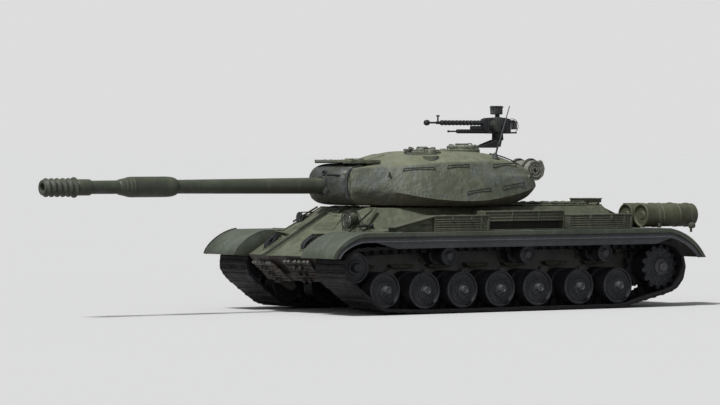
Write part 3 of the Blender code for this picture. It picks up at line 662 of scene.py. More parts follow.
def fitted(name, objects, body, stands_for=(), finish=None):
    """Joins the pieces, names the result, and lets it ride on its body."""
    obj = joined(objects, finish)
    obj.name = name
    obj.data.name = name
    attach(obj, body)
    if stands_for:
        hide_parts(*stands_for)
    print(name, len(obj.data.polygons), "faces on", body)
    return obj


print("copies, joins and mirrors")


# %% [markdown]
# ## Cuts and bolts
#
# One closed shape is cut out of another to make an opening. Bolt heads come in rows and in
# circles.

# %% Cuts and bolts
def cut(obj, cutter, operation="DIFFERENCE"):
    """Cuts one closed shape out of another, or welds it on, and clears the cutter away."""
    with_modifier(obj, "BOOLEAN", object=cutter, operation=operation, solver="EXACT")
    bpy.data.objects.remove(cutter, do_unlink=True)
    return obj


def bolt_heads(places, axis, radius=0.8, height=0.7, material=None, sides=6):
    """Bolt heads, standing on their places along an axis such as +Y or -X."""
    sign = -1 if axis[0] == "-" else 1
    bpy.ops.mesh.primitive_cylinder_add(vertices=sides, radius=radius * MM, depth=height * MM,
        location=(0, 0, height / 2 * MM))
    head = settle(bpy.context.object)
    editing("DESELECT")
    done_editing()
    top = max(head.data.polygons, key=lambda face: face.center.z)
    top.select = True
    bpy.ops.object.mode_set(mode="EDIT")
    bpy.ops.mesh.select_mode(type="FACE")
    bpy.ops.mesh.inset(thickness=radius * 0.28 * MM, depth=height * 0.3 * MM)
    done_editing()
    flip = Matrix.Rotation(math.pi, 4, "X") if sign < 0 else Matrix.Identity(4)
    if axis[-1] != "Z":
        head.data.transform(TURNS[axis[-1]])
        flip = Matrix.Rotation(math.pi, 4, "Z") if sign < 0 else Matrix.Identity(4)
    head.data.transform(flip)
    return joined(spread(painted(head, material), places))


def circle_of(count, radius, axis, centre, start=0.0):
    """Places evenly round a circle about an axis."""
    places = []
    for number in range(count):
        angle = 2 * math.pi * number / count + start
        a, b = radius * math.cos(angle), radius * math.sin(angle)
        offset = {"X": (0, a, b), "Y": (a, 0, b), "Z": (a, b, 0)}[axis]
        places.append(Vector(centre) + Vector(offset))
    return places


print("bolts are ready")

# %% [markdown]
# ## Road wheels
#
# Each road wheel is a pair of steel-rimmed discs with a groove between them, where the track's
# guide horns run. The face is a shallow dish with a raised ring and bolts, and the hub cap stands
# out at its middle. A wheel is a lathe piece, so it is turned: one disc is pulled outwards and
# resized at every step of the profile.


# %% One road wheel
def wheel_place(name):
    """The middle of a wheel's CAD node, seen from the side, and its radius, in millimetres."""
    low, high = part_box(name)
    return (low[0] + high[0]) / 2 / MM, (low[2] + high[2]) / 2 / MM, (high[2] - low[2]) / 2 / MM


def road_wheel(x, z, radius):
    centre = (x, 0, z)
    rim = radius
    profile = [(60.6, 3.0), (60.6, rim - 4.4), (58.6, rim - 3.6), (58.5, rim - 0.5), (58.9, rim),
        (71.5, rim), (71.9, rim - 0.5), (71.9, 10.6), (73.4, 10.0), (78.2, 10.0), (79.6, 10.6),
        (79.6, rim - 0.5), (80.0, rim), (92.4, rim), (92.9, rim - 0.4), (93.0, rim - 1.5),
        (92.2, rim - 1.8), (90.9, rim - 2.3), (90.5, rim - 3.4), (90.7, 9.6), (91.4, 7.4),
        (92.5, 6.9), (92.6, 5.9), (91.9, 5.6), (92.0, 4.6)]
    disc = turned(profile, "Y", centre, 56)
    cap = [(91.8, 4.5), (93.0, 4.3), (93.2, 3.7), (96.3, 3.5), (97.1, 3.1), (97.3, 2.4),
        (96.8, 2.1), (96.8, 1.0), (97.2, 0.8), (97.3, 0.4)]
    hub = turned(cap, "Y", centre, 32, material=hub_steel)
    bolts = bolt_heads(circle_of(16, rim - 4.9, "Y", (x, 90.6, z)), "Y", 0.5, 0.6)
    studs = bolt_heads(circle_of(8, 5.15, "Y", (x, 92.2, z)), "Y", 0.4, 0.7, hub_steel)
    return joined([disc, hub, bolts, studs], wheel_steel)


model_wheel = road_wheel(0, 0, 16.2)
print("one road wheel has", len(model_wheel.data.polygons), "faces")

# %% [markdown]
# ## All the road wheels
#
# The one wheel is copied to every place. Each copy is sized to its own wheel in the frame, and
# rolled a little further than the last, so that no two stand alike.

# %% All the road wheels
for side_name, side in SIDES:
    for number in range(1, 8):
        cad_name = f"road_wheel_{side_name}_{number}"
        x, z, radius = wheel_place(cad_name)
        wheel = twin(model_wheel)
        size = radius / 16.2
        roll = Matrix.Rotation(number * 0.7, 4, "Y")
        wheel.data.transform(Matrix.Diagonal((size, 1, size, 1)) @ roll)
        wheel.data.transform(Matrix.Translation((x * MM, 0, z * MM)))
        wheel = for_side(wheel, side)
        fitted(cad_name + ".wheel", [wheel], cad_name, [cad_name])
bpy.data.objects.remove(model_wheel)

# %% [markdown]
# ## Return rollers, idlers and sprockets
#
# The rollers carry the track's upper run. The idler turns freely at the bow, and the sprocket at
# the back drives the track with two toothed rings. All are lathe pieces again. The toothed rings
# are outlines pulled to a thickness, and bolted to the sprocket's drum.


# %% Rollers and idlers
def roller(x, z, radius):
    profile = [(62.3, 2.9), (62.3, radius - 1.4), (62.0, radius - 0.6), (62.5, radius),
        (71.4, radius), (71.8, radius - 0.5), (72.0, 3.1), (79.8, 3.1), (80.0, radius - 0.5),
        (80.4, radius), (89.4, radius), (90.0, radius - 0.6), (90.0, radius - 1.4),
        (88.9, radius - 1.8), (88.7, 4.4), (89.2, 3.9), (89.4, 3.2)]
    disc = turned(profile, "Y", (x, 0, z), 40)
    cap = [(89.0, 3.0), (90.6, 2.8), (91.0, 2.3), (91.0, 1.2), (90.6, 1.0), (90.6, 0.3)]
    hub = turned(cap, "Y", (x, 0, z), 24, material=hub_steel)
    bolts = bolt_heads(circle_of(6, 5.4, "Y", (x, 88.7, z)), "Y", 0.45, 0.6)
    return joined([disc, hub, bolts], wheel_steel)


def idler(x, z, radius):
    rim = radius
    profile = [(62.0, 3.0), (62.0, rim - 3.4), (60.2, rim - 2.8), (60.0, rim - 0.5), (60.4, rim),
        (72.0, rim), (72.4, rim - 0.5), (72.4, 8.0), (79.6, 8.0), (79.6, rim - 0.5), (80.0, rim),
        (91.5, rim), (92.0, rim - 0.5), (92.0, rim - 1.6), (90.6, rim - 2.0), (90.2, rim - 2.8),
        (90.2, 7.2), (91.2, 6.4), (91.4, 5.4), (90.6, 5.0), (90.6, 4.4)]
    disc = turned(profile, "Y", (x, 0, z), 48)
    cap = [(90.4, 4.2), (92.4, 4.0), (94.6, 3.4), (95.3, 2.8), (95.3, 1.6), (94.7, 1.3),
        (94.7, 0.4)]
    hub = turned(cap, "Y", (x, 0, z), 28)
    bolts = bolt_heads(circle_of(12, rim - 4.4, "Y", (x, 90.2, z)), "Y", 0.45, 0.6)
    return joined([disc, hub, bolts], wheel_steel)


for side_name, side in SIDES:
    for number in (1, 2, 3):
        cad_name = f"return_roller_{side_name}_{number}"
        piece = for_side(roller(*wheel_place(cad_name)), side)
        fitted(cad_name + ".wheel", [piece], cad_name, [cad_name])
    cad_name = f"idler_{side_name}"
    piece = for_side(idler(*wheel_place(cad_name)), side)
    fitted(cad_name + ".wheel", [piece], cad_name, [cad_name])

# %% [markdown]
# ## Sprockets
#
# The sprockets drive the belts. Their teeth stand in rings, with round valleys between them for
# the links.

# %% Sprockets
TEETH = 14


def tooth_ring(x, z, low, high):
    """A ring of teeth with round valleys between them."""
    outline = []
    for tooth in range(TEETH):
        for share, reach in ((0.0, 17.7), (0.12, 17.3), (0.26, 17.3), (0.38, 17.7), (0.50, 20.2)):
            angle = 2 * math.pi * (tooth + share) / TEETH
            outline.append((x + reach * math.cos(angle), z + reach * math.sin(angle)))
        for share, reach in ((0.56, 20.6), (0.82, 20.6), (0.88, 20.2)):
            angle = 2 * math.pi * (tooth + share) / TEETH
            outline.append((x + reach * math.cos(angle), z + reach * math.sin(angle)))
    return plate(outline, "Y", low, high, 0.3)


def sprocket(x, z):
    profile = [(53.0, 4.0), (53.0, 8.4), (58.6, 8.8), (60.4, 14.4), (61.9, 15.0), (61.9, 16.4),
        (66.2, 16.4), (66.2, 14.6), (85.8, 14.6), (85.8, 16.2), (90.3, 16.2), (90.5, 13.4),
        (89.6, 12.8), (89.4, 9.6), (90.4, 8.8), (90.7, 8.0)]
    drum = turned(profile, "Y", (x, 0, z), 48)
    cover = [(90.2, 7.9), (92.6, 7.6), (93.4, 6.4), (93.8, 4.6), (95.6, 4.2), (96.3, 3.4),
        (96.3, 1.6), (95.9, 1.3), (95.9, 0.4)]
    hub = turned(cover, "Y", (x, 0, z), 36, material=hub_steel)
    rings = [tooth_ring(x, z, 62, 66), tooth_ring(x, z, 86, 90)]
    outer = bolt_heads(circle_of(14, 15.4, "Y", (x, 90.3, z), 0.1), "Y", 0.65, 0.7, hub_steel)
    inner = bolt_heads(circle_of(12, 10.9, "Y", (x, 89.5, z)), "Y", 0.5, 0.7, hub_steel)
    studs = bolt_heads(circle_of(8, 6.2, "Y", (x, 93.3, z)), "Y", 0.4, 0.6, hub_steel)
    return joined([drum, hub, *rings, outer, inner, studs], wheel_steel)


for side_name, side in SIDES:
    cad_name = f"drive_sprocket_{side_name}"
    x, z, _ = wheel_place(cad_name)
    piece = for_side(sprocket(x, z), side)
    fitted(cad_name + ".wheel", [piece], cad_name, [cad_name])

# %% [markdown]
# ## The tracks
#
# A track is a closed belt of cast links, pinned to each other through interleaved eyes. Each link
# has a rib across its outer face to grip the ground, and a pair of horns inside that run in the
# wheels' grooves. One link is modelled with few faces, because it comes back about eighty times a
# side. Then it is laid along the taut line round all the wheels, at an even pitch.


# %% The line of the belt
TRACK_MIDDLE = 76.1
BELT_CLEARANCE = 0.35  # between rims and links


def hull_of(points):
    """The outer points of a flat cloud of points, in order round it."""
    points = sorted(set(points))
    halves = []
    for run in (points, points[::-1]):
        chain = []
        for p in run:
            while len(chain) > 1:
                (ax, ay), (bx, by) = chain[-2], chain[-1]
                if (bx - ax) * (p[1] - ay) - (by - ay) * (p[0] - ax) > 0:
                    break
                chain.pop()
            chain.append(p)
        halves += chain[:-1]
    return halves


def belt_line():
    """The taut line round the left side's wheels, a clearance off their rims."""
    names = [f"road_wheel_left_{n}" for n in range(1, 8)]
    names += [f"return_roller_left_{n}" for n in (1, 2, 3)] + ["idler_left", "drive_sprocket_left"]
    cloud = []
    for name in names:
        x, z, radius = wheel_place(name)
        for step in range(96):
            angle = 2 * math.pi * step / 96
            reach = radius + BELT_CLEARANCE
            cloud.append((x + reach * math.cos(angle), z + reach * math.sin(angle)))
    return hull_of(cloud)


def evenly(loop, count):
    """Points at even steps round a closed loop."""
    loop = [Vector(p) for p in loop] + [Vector(loop[0])]
    lengths = [(b - a).length for a, b in zip(loop, loop[1:])]
    pitch = sum(lengths) / count
    points, walked, leg = [], 0.0, 0
    for number in range(count):
        target = number * pitch
        while walked + lengths[leg] < target:
            walked += lengths[leg]
            leg += 1
        share = (target - walked) / lengths[leg]
        points.append(loop[leg].lerp(loop[leg + 1], share))
    return points, pitch


TRACK_PITCH = 10.2
belt = belt_line()
perimeter = sum((Vector(b) - Vector(a)).length for a, b in zip(belt, belt[1:] + belt[:1]))
link_count = round(perimeter / TRACK_PITCH)
pins, pitch = evenly(belt, link_count)
print(link_count, "links a side, at a pitch of", round(pitch, 2), "mm")


# %% [markdown]
# ## One link, and both tracks
#
# A link is modelled once, lying along X, and then laid end to end along the belt's line.

# %% One link, and both tracks
def track_link():
    """A link along +X, with its inner face at z = 0 and its grip outwards."""
    half = pitch / 2
    body = bar((-half + 0.15, half - 0.15), (-22.3, 22.3), (0.1, 2.7), 0)
    rib = plate([(-2.2, 2.6), (2.2, 2.6), (1.2, 3.5), (-1.2, 3.5)], "Y", -21.4, 21.4, 0,
        track_steel)
    eyes = []
    for low, high, end in ((-22.4, -14, 1), (-5, 5, 1), (14, 22.4, 1), (-13.4, -5.6, -1),
            (5.6, 13.4, -1)):
        eyes.append(turned([(low, 1.3), (high, 1.3)], "Y", (end * (half - 0.05), 0, 1.4), 6,
            smooth=70))
    horn = plate([(-4.6, 0.2), (4.6, 0.2), (3.0, -5.3), (-2.4, -5.3)], "Y", -3.2, -1.5, 0)
    other = plate([(-3.6, 0.2), (3.6, 0.2), (2.4, -5.3), (-1.6, -5.3)], "Y", 1.5, 3.2, 0)
    return joined([body, rib, *eyes, horn, other], track_steel)


link = track_link()
print("one link has", len(link.data.polygons), "faces")
for side_name, side in SIDES:
    places = []
    for first, second in zip(pins, pins[1:] + pins[:1]):
        middle, along = (first + second) / 2, (second - first).normalized()
        out = Vector((along.y, -along.x))
        matrix = Matrix(
            (
                (along.x, 0, out.x, middle.x * MM),
                (0, 1, 0, side * TRACK_MIDDLE * MM),
                (along.y, 0, out.y, middle.y * MM),
                (0, 0, 0, 1),
            )
        )
        places.append(matrix)
    fitted(f"track_{side_name}.links", spread(twin(link), places), "hull",
        [f"track_{side_name}"])
bpy.data.objects.remove(link)

# %% [markdown]
# ## Hull, and the pieces inside it
#
# The hull is welded from flat rolled plates, and its CAD solids are already just that: flat faces
# and crisp edges. So the plates keep their solids and only get paint. The same goes for the
# belly's cover and switch, and for the battery, gearbox and board inside.

# %% Paint the plates that stay
# The lower tub is painted pale: painted fill light in the shaded recess behind the wheels.
tub_fill_light_paint = weathered_paint("tub_fill_light_paint", (0.120, 0.126, 0.118), (0.200, 0.200, 0.185),
    (0.230, 0.230, 0.210), top_dust_and_light=0.4, worn=0.3)
KEPT = {
    plate_paint: ("upper_hull",),
    tub_fill_light_paint: ("lower_hull",),
    battery_wrap: ("battery_pack",),
    case_black: ("drive_gearbox", "battery_cover", "power_switch"),
    board_green: ("control_board",),
}
for material, names in KEPT.items():
    for name in names:
        painted(nodes[name], material)
print("paint is on", sum(len(names) for names in KEPT.values()), "kept solids")

# %% [markdown]
# ## Mudguards
#
# Each mudguard is one long pressed sheet over the track. It curls down over the idler at the
# front and kicks out behind the sprocket. A turned-down lip with a rolled bead stiffens its outer
# edge, and small bolts hold the lip along the front curve. The sheet's side view is an outline,
# pulled across the width.


# %% The mudguard's curve
# Painted shade under the mudguard's lip: near black in the groove, and a bluish dark on the band,
# bead and curtain below it.
groove_shade_paint = weathered_paint("groove_shade_paint", (0.022, 0.023, 0.022), (0.038, 0.038, 0.034),
    (0.060, 0.060, 0.054), top_dust_and_light=0.2, worn=0.3)
skirt_shade_paint = weathered_paint("skirt_shade_paint", (0.050, 0.055, 0.062), (0.078, 0.084, 0.092),
    (0.105, 0.111, 0.114), top_dust_and_light=0.3)
FENDER_IN, FENDER_OUT = 52.3, 101.9
FENDER_TOP = 71.4


def fender_curve(drop, front_steps=26, rear_steps=14):
    """The sheet's side view from front tip to rear tip, a depth below its top."""
    curve = []
    for i in range(front_steps + 1):
        angle = math.pi / 2 * i / front_steps
        x = 60 + (34 - drop) * abs(math.cos(angle)) ** 1.3
        z = 49.6 + (FENDER_TOP - 49.6 - drop) * math.sin(angle) ** 1.3
        curve.append((x, z))
    a, b, c = (-278, FENDER_TOP - drop), (-306.5 + drop, 66.6 - drop), (-320.0 + drop, 44.4)
    for i in range(rear_steps + 1):
        t = i / rear_steps
        curve.append(tuple((1 - t) ** 2 * p + 2 * t * (1 - t) * q + t * t * r for p, q,
            r in zip(a, b, c)))
    return curve


def fender():
    sheet = plate(fender_curve(0) + fender_curve(1.1)[::-1], "Y", FENDER_IN, FENDER_OUT, 0.2,
        fender_paint, smooth=25)
    lip = plate(fender_curve(0.05) + fender_curve(3.9)[::-1], "Y", FENDER_OUT - 1.1,
        FENDER_OUT - 0.05, 0.2, fender_paint, smooth=25)
    groove = plate(fender_curve(3.7) + fender_curve(5.0)[::-1], "Y", FENDER_OUT - 1.9,
        FENDER_OUT - 1.1, 0.1, groove_shade_paint, smooth=25)
    band = plate(fender_curve(4.8) + fender_curve(8.0)[::-1], "Y", FENDER_OUT - 1.5,
        FENDER_OUT - 0.7, 0.15, skirt_shade_paint, smooth=25)
    bead = wire([(x, FENDER_OUT - 0.9, z) for x, z in fender_curve(8.0)], 0.60, skirt_shade_paint)
    # The curtain is a sheet of painted shade, hung under the lip where the lip's shadow and the
    # track are seen.
    high, deep = FENDER_TOP - 7.6, FENDER_TOP - 14.0
    shade_curtain = plate([(52, high), (26, deep), (-262, deep), (-284, high)], "Y", FENDER_OUT - 1.6,
        FENDER_OUT - 1.0, 0.1, skirt_shade_paint)
    pieces = [sheet, lip, groove, band, bead, shade_curtain]
    front, rear = fender_curve(0.4)[:27], fender_curve(0.4)[27:]
    low = [(40, FENDER_TOP - 0.5), (40, 63), (60, 55), (80, 48.5)]
    pieces.append(plate(front + low, "Y", FENDER_IN, FENDER_IN + 1, 0.15, fender_paint, smooth=25))
    low = [(-300, 50), (-278, 60), (-262, 62), (-262, FENDER_TOP - 0.5)]
    pieces.append(plate(rear + low, "Y", FENDER_IN, FENDER_IN + 1, 0.15, fender_paint, smooth=25))
    ridge = [(x, 77, z - 0.35) for x, z in fender_curve(0) if 52 < x < 90]
    pieces.append(wire(ridge, 1.0))
    for x in (20.5, -120.0, -252.0):
        pieces.append(bar(about(x, 0.5), (54, 101), (71.2, 71.9), 0.2))
    outer = [(x, z) for x, z in fender_curve(2.3, 12) if 55 < x < 92]
    spots = [Vector((x, FENDER_OUT - 0.9, z)) for x, z in outer]
    spots += [Vector((x, FENDER_OUT - 0.9, FENDER_TOP - 2.3)) for x in range(30, -276, -24)]
    pieces.append(bolt_heads([s - Vector((0, 0.05, 0)) for s in spots], "Y", 0.55, 0.6))
    return joined(pieces, fender_paint)


def rolled_edge():
    """A black rod along the outer top edge, in the shadow finish, which only one mudguard still
    has.
    """
    line = [(x, FENDER_OUT - 0.9, z + 0.1) for x, z in fender_curve(0) if x > -270]
    return wire(line, 0.85, shadow_black)


for side_name, side in SIDES:
    piece = fender() if side > 0 else joined([fender(), rolled_edge()])
    piece = for_side(piece, side)
    fitted(f"fender_{side_name}.sheet", [piece], "hull", [f"fender_{side_name}"])

# %% [markdown]
# ## Boxes and louvres on the mudguards
#
# A row of boxes stands along each mudguard. A short box and a long box hold tools behind louvred
# fronts, and between them runs the air intake, whose slats shade a dark slot below. In front of
# them a sloped plate throws water off. A louvre is a thin slat tilted outwards, so each front is
# a frame, a row of tilted slats, hinges along the lid, and two latches.


# %% Louvred fronts
def louvres(x_low, x_high, heights, y, depth=0.9, tilt=0.9):
    """Slats across a front at y: each leans outwards as it goes down."""
    slats = []
    for z in heights:
        outline = [(y - 0.4, z + tilt), (y + 0.1, z + tilt), (y + depth, z - 0.5),
            (y + depth, z - 0.9), (y - 0.4, z - 0.2)]
        slats.append(plate(outline, "X", x_low, x_high, 0.1, box_paint, smooth=25))
    return slats


def latch(x, y, z):
    strap = bar(about(x, 1.2), (y - 0.2, y + 0.8), (z - 1.6, z + 1.4), 0.25)
    ring = wire([(x - 0.9, y + 0.9, z - 0.6), (x - 0.9, y + 1.2, z - 2.6),
        (x + 0.9, y + 1.2, z - 2.6), (x + 0.9, y + 0.9, z - 0.6)], 0.25, tool_steel)
    return [strap, ring]


def louvred_box(x_low, x_high, top):
    """A box with a framed, louvred front, an overhanging lid and an end strap."""
    base, inner, outer = 71.7, 80.0, 93.0
    pieces = [
        bar((x_low, x_high), (inner, outer), (base, top - 1.0), 0.35),
        bar((x_low - 0.6, x_high + 0.6), (inner - 0.4, outer + 1.1), (top - 1.2, top), 0.35),
        bar((x_low, x_high), (outer - 0.3, outer + 0.9), (base, base + 1.3), 0.25),
    ]
    for x in (x_low + 1.1, x_low + 9.0, x_high - 1.1):
        pieces.append(bar(about(x, 1.1), (outer - 0.3, outer + 0.8), (base + 0.5, top - 1.1), 0.25))
    heights = [base + 2.6 + 2.05 * i for i in range(5)]
    pieces += louvres(x_low + 10.4, x_high - 2.4, [h for h in heights if h < top - 2.2], outer)
    third = (x_high - x_low) / 3
    for x in (x_low + third, x_low + 2 * third):
        pieces += latch(x, outer + 0.6, top - 3.0)
        pieces.append(rod((x - 3, inner - 0.5, top - 0.3), (x + 3, inner - 0.5, top - 0.3), 0.6,
            10))
    for z in (base + 3, top - 4):
        pieces.append(bolt_heads([(x_low + 4.6, outer - 0.1, z)], "Y", 0.7, 0.7))
    return pieces


def air_intake():
    """The long cover between the boxes: slats over a dark slot, and a sloping roof."""
    base = 71.7
    section = [(79.2, 79.4), (86.0, 79.4), (86.2, 88.2), (84.0, 88.6), (70.5, 88.6)]
    pieces = [
        plate(section, "X", -167.5, -79.6, 0.3),
        bar((-167.5, -79.6), (79.2, 80.4), (base, 79.8), 0.2, shadow_black),
        bar((-167.5, -79.6), (79.6, 86.4), (base, base + 0.7), 0.2),
    ]
    pieces += louvres(-165.2, -82.0, (80.6, 83.2, 85.8), 86.2, 0.8, 1.1)
    for x in (-167.2, -79.9):
        pieces.append(bar(about(x, 0.7), (70.6, 86.6), (base, 88.4), 0.25))
    for x in (-138.5, -109.0):
        pieces.append(bar(about(x, 0.5), (84, 87.4), (79.4, 88.2), 0.2))
    pieces.append(bar((-167.5, -79.6), (85.6, 87.4), (87.5, 88.55), 0.25))
    for x in range(-160, -80, 13):
        pieces += [
            rod((x - 2.4, 71.6, 88.3), (x + 2.4, 71.6, 88.3), 0.6, 10),
            bolt_heads([(x, 78.0, 88.5)], "Z", 0.7, 0.6),
        ]
    return pieces


def short_locker():
    """The right side has only a short locker there."""
    lid = [(-5.0, 81.2), (-18.4, 84.2), (-18.4, 85.1), (-5.0, 82.1)]
    pieces = [
        plate(lid, "Y", 75.5, 95.0, 0.25),
        plate([(-6, 71.7), (-6, 81.6), (-18.4, 84.4), (-18.4, 71.7)], "Y", 78.0, 92.4, 0.3),
    ]
    for x in (-8.5, -15.5):
        pieces.append(bolt_heads([(x, 92.2, 74.2), (x, 92.2, 79.4)], "Y", 0.7, 0.7))
    pieces += latch(-12, 92.2, 81.0)
    return pieces


def splash_plate():
    """The sloped plate in front of the boxes, over a low locker."""
    lid = [(24.0, 74.9), (-18.4, 84.2), (-18.4, 85.1), (24.0, 75.9)]
    pieces = [plate(lid, "Y", 75.5, 95.0, 0.25)]
    side = [(20.0, 71.7), (20.0, 75.4), (-18.4, 83.8), (-18.4, 71.7)]
    pieces += [
        plate(side, "Y", 79.0, 91.5, 0.3),
        bar((-18.2, 20.4), (91.0, 92.4), (71.7, 75.6), 0.25),
    ]
    for x in (14, 2, -10):
        pieces.append(bar(about(x, 0.6), (91.2, 92.9), (71.8, 75.8), 0.2))
    for x in (8, -4):
        pieces.append(bolt_heads([(x, 92.3, 73.8)], "Y", 0.8, 0.7))
    pieces.append(rod((-17, 91.0, 77.5), (-6, 93.0, 77.0), 0.6, 10, tool_steel))
    return pieces


FENDER_FITTINGS = (
    ("stowage_box_front_{}.louvred", lambda: louvred_box(-79, -19, 85.4), "stowage_box_front_{}"),
    ("stowage_box_rear_{}.louvred", lambda: louvred_box(-240, -168.1, 85.0), "stowage_box_rear_{}"),
    ("air_intake_{}.slatted", air_intake, "air_intake_{}"),
    ("splash_plate_{}", splash_plate, None),
)
for side_name, side in SIDES:
    for pattern, make, cad_pattern in FENDER_FITTINGS:
        if make is splash_plate and side < 0:
            make = short_locker
        piece = for_side(joined(make(), box_paint), side)
        stands_for = [cad_pattern.format(side_name)] if cad_pattern else []
        fitted(pattern.format(side_name), [piece], "hull", stands_for)

# %% [markdown]
# ## Fuel drums
#
# Two drums a side lie on the rear slope. Each has pressed end caps with a rim, two rolled hoops,
# a filler cap, and straps that bolt down to feet on the mudguard.


# %% One drum on its straps
def fuel_drum(y, z=83.0, radius=11.0):
    rear, front = -318.4, -258.8
    r = radius
    profile = [(rear + 1.6, 4.0), (rear + 1.6, r - 2.2), (rear, r - 1.7), (rear, r - 1.0),
        (rear + 0.5, r - 0.55), (rear + 19.0, r - 0.55), (rear + 19.6, r - 0.1),
        (rear + 20.6, r - 0.1), (rear + 21.2, r - 0.55), (rear + 38.4, r - 0.55),
        (rear + 39.0, r - 0.1), (rear + 40.0, r - 0.1), (rear + 40.6, r - 0.55),
        (front - 0.5, r - 0.55), (front, r - 1.0), (front, r - 1.7), (front - 1.6, r - 2.4),
        (front - 1.8, 4.0), (front - 1.0, 3.2)]
    pieces = [turned(profile, "X", (0, y, z), 56, material=drum_paint)]
    for x in (-311.6, -274.0):
        hoop = [(x + 1.2, r - 0.3), (x + 1.2, r + 0.05), (x - 1.2, r + 0.05), (x - 1.2, r - 0.3)]
        pieces += [
            turned(hoop[::-1], "X", (0, y, z), 56),
            bar(about(x, 1.6), (y + 6.5, y + 9.4), (z - 11.2, z - 7.2), 0.3),
            bar(about(x, 1.4), (y - 8.4, y - 6.8), (z - 10.9, z - 7.6), 0.3),
            rod((x, y + 8.4, z - 8.4), (x, y + 11.2, z - 5.6), 0.5, 8, tool_steel),
        ]
    pieces.append(turned([(9.6, 2.6), (10.7, 2.6), (11.0, 2.2)], "Z", (-289.0, y, z - 0.1), 20))
    return pieces


for side_name, side in SIDES:
    for place, y in (("outer", 82.4), ("inner", 60.0)):
        piece = for_side(joined(fuel_drum(y), box_paint), side)
        cad_name = f"fuel_drum_{side_name}_{place}"
        fitted(cad_name + ".strapped", [piece], "hull", [cad_name])
# %% [markdown]
# ## Engine deck
#
# The deck over the engine is a bolted plate with two round fan covers, a middle hatch, and two
# raised grilles behind them that let the hot air out. A grille is a frame with leaning bars, so
# that rain and splinters stay out. The guns sweep low over the front half, so nothing there stands
# higher than a bolt. A flat locker stands at the rear edge.


# %% Fan covers and grilles
DECK_LOW, DECK_TOP = 91.9, 92.9
SWEPT_TOP = 93.2  # the turret's parts pass just above this


def fan_cover(x, y):
    profile = [(91.9, 12.4), (92.8, 12.4), (93.1, 12.0), (93.1, 10.0), (92.5, 9.6), (92.5, 3.4),
        (93.1, 3.0), (93.15, 1.0)]
    pieces = [turned(profile, "Z", (x, y, 0), 48)]
    for start, end in zip(circle_of(18, 3.2, "Z", (x, y, 92.4)),
            circle_of(18, 9.8, "Z", (x, y, 92.4))):
        pieces.append(beam(start, end, 0.55, 0.6, bevel=0.1))
    pieces.append(bolt_heads(circle_of(12, 11.2, "Z", (x, y, 92.8)), "Z", 0.5, 0.36))
    return pieces


def raised_grille(x_low, x_high, y_low, y_high, top=94.4):
    pieces = []
    for x in ((x_low, x_low + 1.6), (x_high - 1.6, x_high)):
        pieces.append(bar(x, (y_low, y_high), (DECK_LOW, top), 0.3))
    for y in ((y_low, y_low + 1.6), (y_high - 1.6, y_high)):
        pieces.append(bar((x_low, x_high), y, (DECK_LOW, top), 0.3))
    count = 15
    for number in range(1, count):
        x = x_low + (x_high - x_low) * number / count
        slat = [(x - 0.9, 92.0), (x - 0.3, 92.0), (x + 0.9, top - 0.2), (x + 0.3, top - 0.2)]
        pieces.append(plate(slat, "Y", y_low + 1, y_high - 1, 0))
    for y in (y_low + (y_high - y_low) / 3, y_low + (y_high - y_low) * 2 / 3):
        pieces.append(bar((x_low + 1, x_high - 1), about(y, 0.4), (93.0, top + 0.2), 0.15))
    for x in range(int(x_low) + 4, int(x_high), 11):
        pieces += [
            rod((x - 1.6, y_high + 0.3, top - 0.3), (x + 1.6, y_high + 0.3, top - 0.3), 0.75, 10),
            bar(about(x, 1.2), (y_high - 3.2, y_high + 0.3), (top - 0.2, top + 0.6), 0.2),
            bolt_heads([(x, y_low + 1.0, top)], "Z", 0.6, 0.6),
        ]
    return pieces


def deck():
    pieces = [
        bar((-190, -153), (-46, 46), (DECK_LOW, DECK_TOP), 0.3),
        bar((-236, -231), (-46, 46), (DECK_LOW, DECK_TOP), 0.3),
    ]
    for y in ((-46, -38), (-4.6, 4.6), (38, 46)):
        pieces.append(bar((-232, -189), y, (DECK_LOW, DECK_TOP), 0.2))
    for side in (1, -1):
        pieces += fan_cover(-172, 25 * side)
        grille = joined(raised_grille(-231.5, -190.5, 4.4, 38.4), plate_paint)
        pieces.append(for_side(grille, side))
        edge = [(x, 44.2 * side, DECK_TOP) for x in range(-232, -154, 8)]
        pieces += [
            bolt_heads(edge, "Z", 0.6, 0.28),
            wire([(-182, 38.6 * side, 92.9), (-177, 38.6 * side, 93.0)], 0.3, tool_steel),
        ]
    hatch = [(-186, -9), (-158, -9), (-155.5, -6), (-155.5, 6), (-158, 9), (-186, 9)]
    pieces.append(plate(hatch, "Z", DECK_TOP - 0.1, 93.1, 0.15))
    for y in (-6, 6):
        pieces.append(rod((-187, y - 2, 92.7), (-187, y + 2, 92.7), 0.45, 10))
    pieces.append(wire([(-162, -3, 93.0), (-161, -2.4, 93.05), (-161, 2.4, 93.05), (-162, 3, 93.0)],
        0.15, tool_steel))
    return pieces


fitted("engine_deck.grilles", deck(), "hull", ["engine_deck"], plate_paint)


# %% [markdown]
# ## Rear locker
#
# A low lidded box stands on four legs at the rear of the engine deck.

# %% Rear locker
def rear_locker():
    pieces = [
        bar((-252, -231), (14, 34), (94.2, 97.4), 0.4),
        bar((-252.6, -230.4), (13.4, 34.6), (97.2, 98.2), 0.35),
    ]
    for x in (-233, -250):
        for y in (16, 32):
            pieces.append(bar(about(x, 0.8), about(y, 0.8), (84.5 if x < -240 else 91.0, 94.4),
                0.15))
    for x in (-247, -236):
        pieces.append(bar(about(x, 0.9), (34.2, 35.2), (95.0, 97.8), 0.2, tool_steel))
    pieces.append(bar((-257.5, -252), (20, 28), (91.2, 92.4), 0.3))
    return pieces


fitted("rear_locker", rear_locker(), "hull", finish=box_paint)

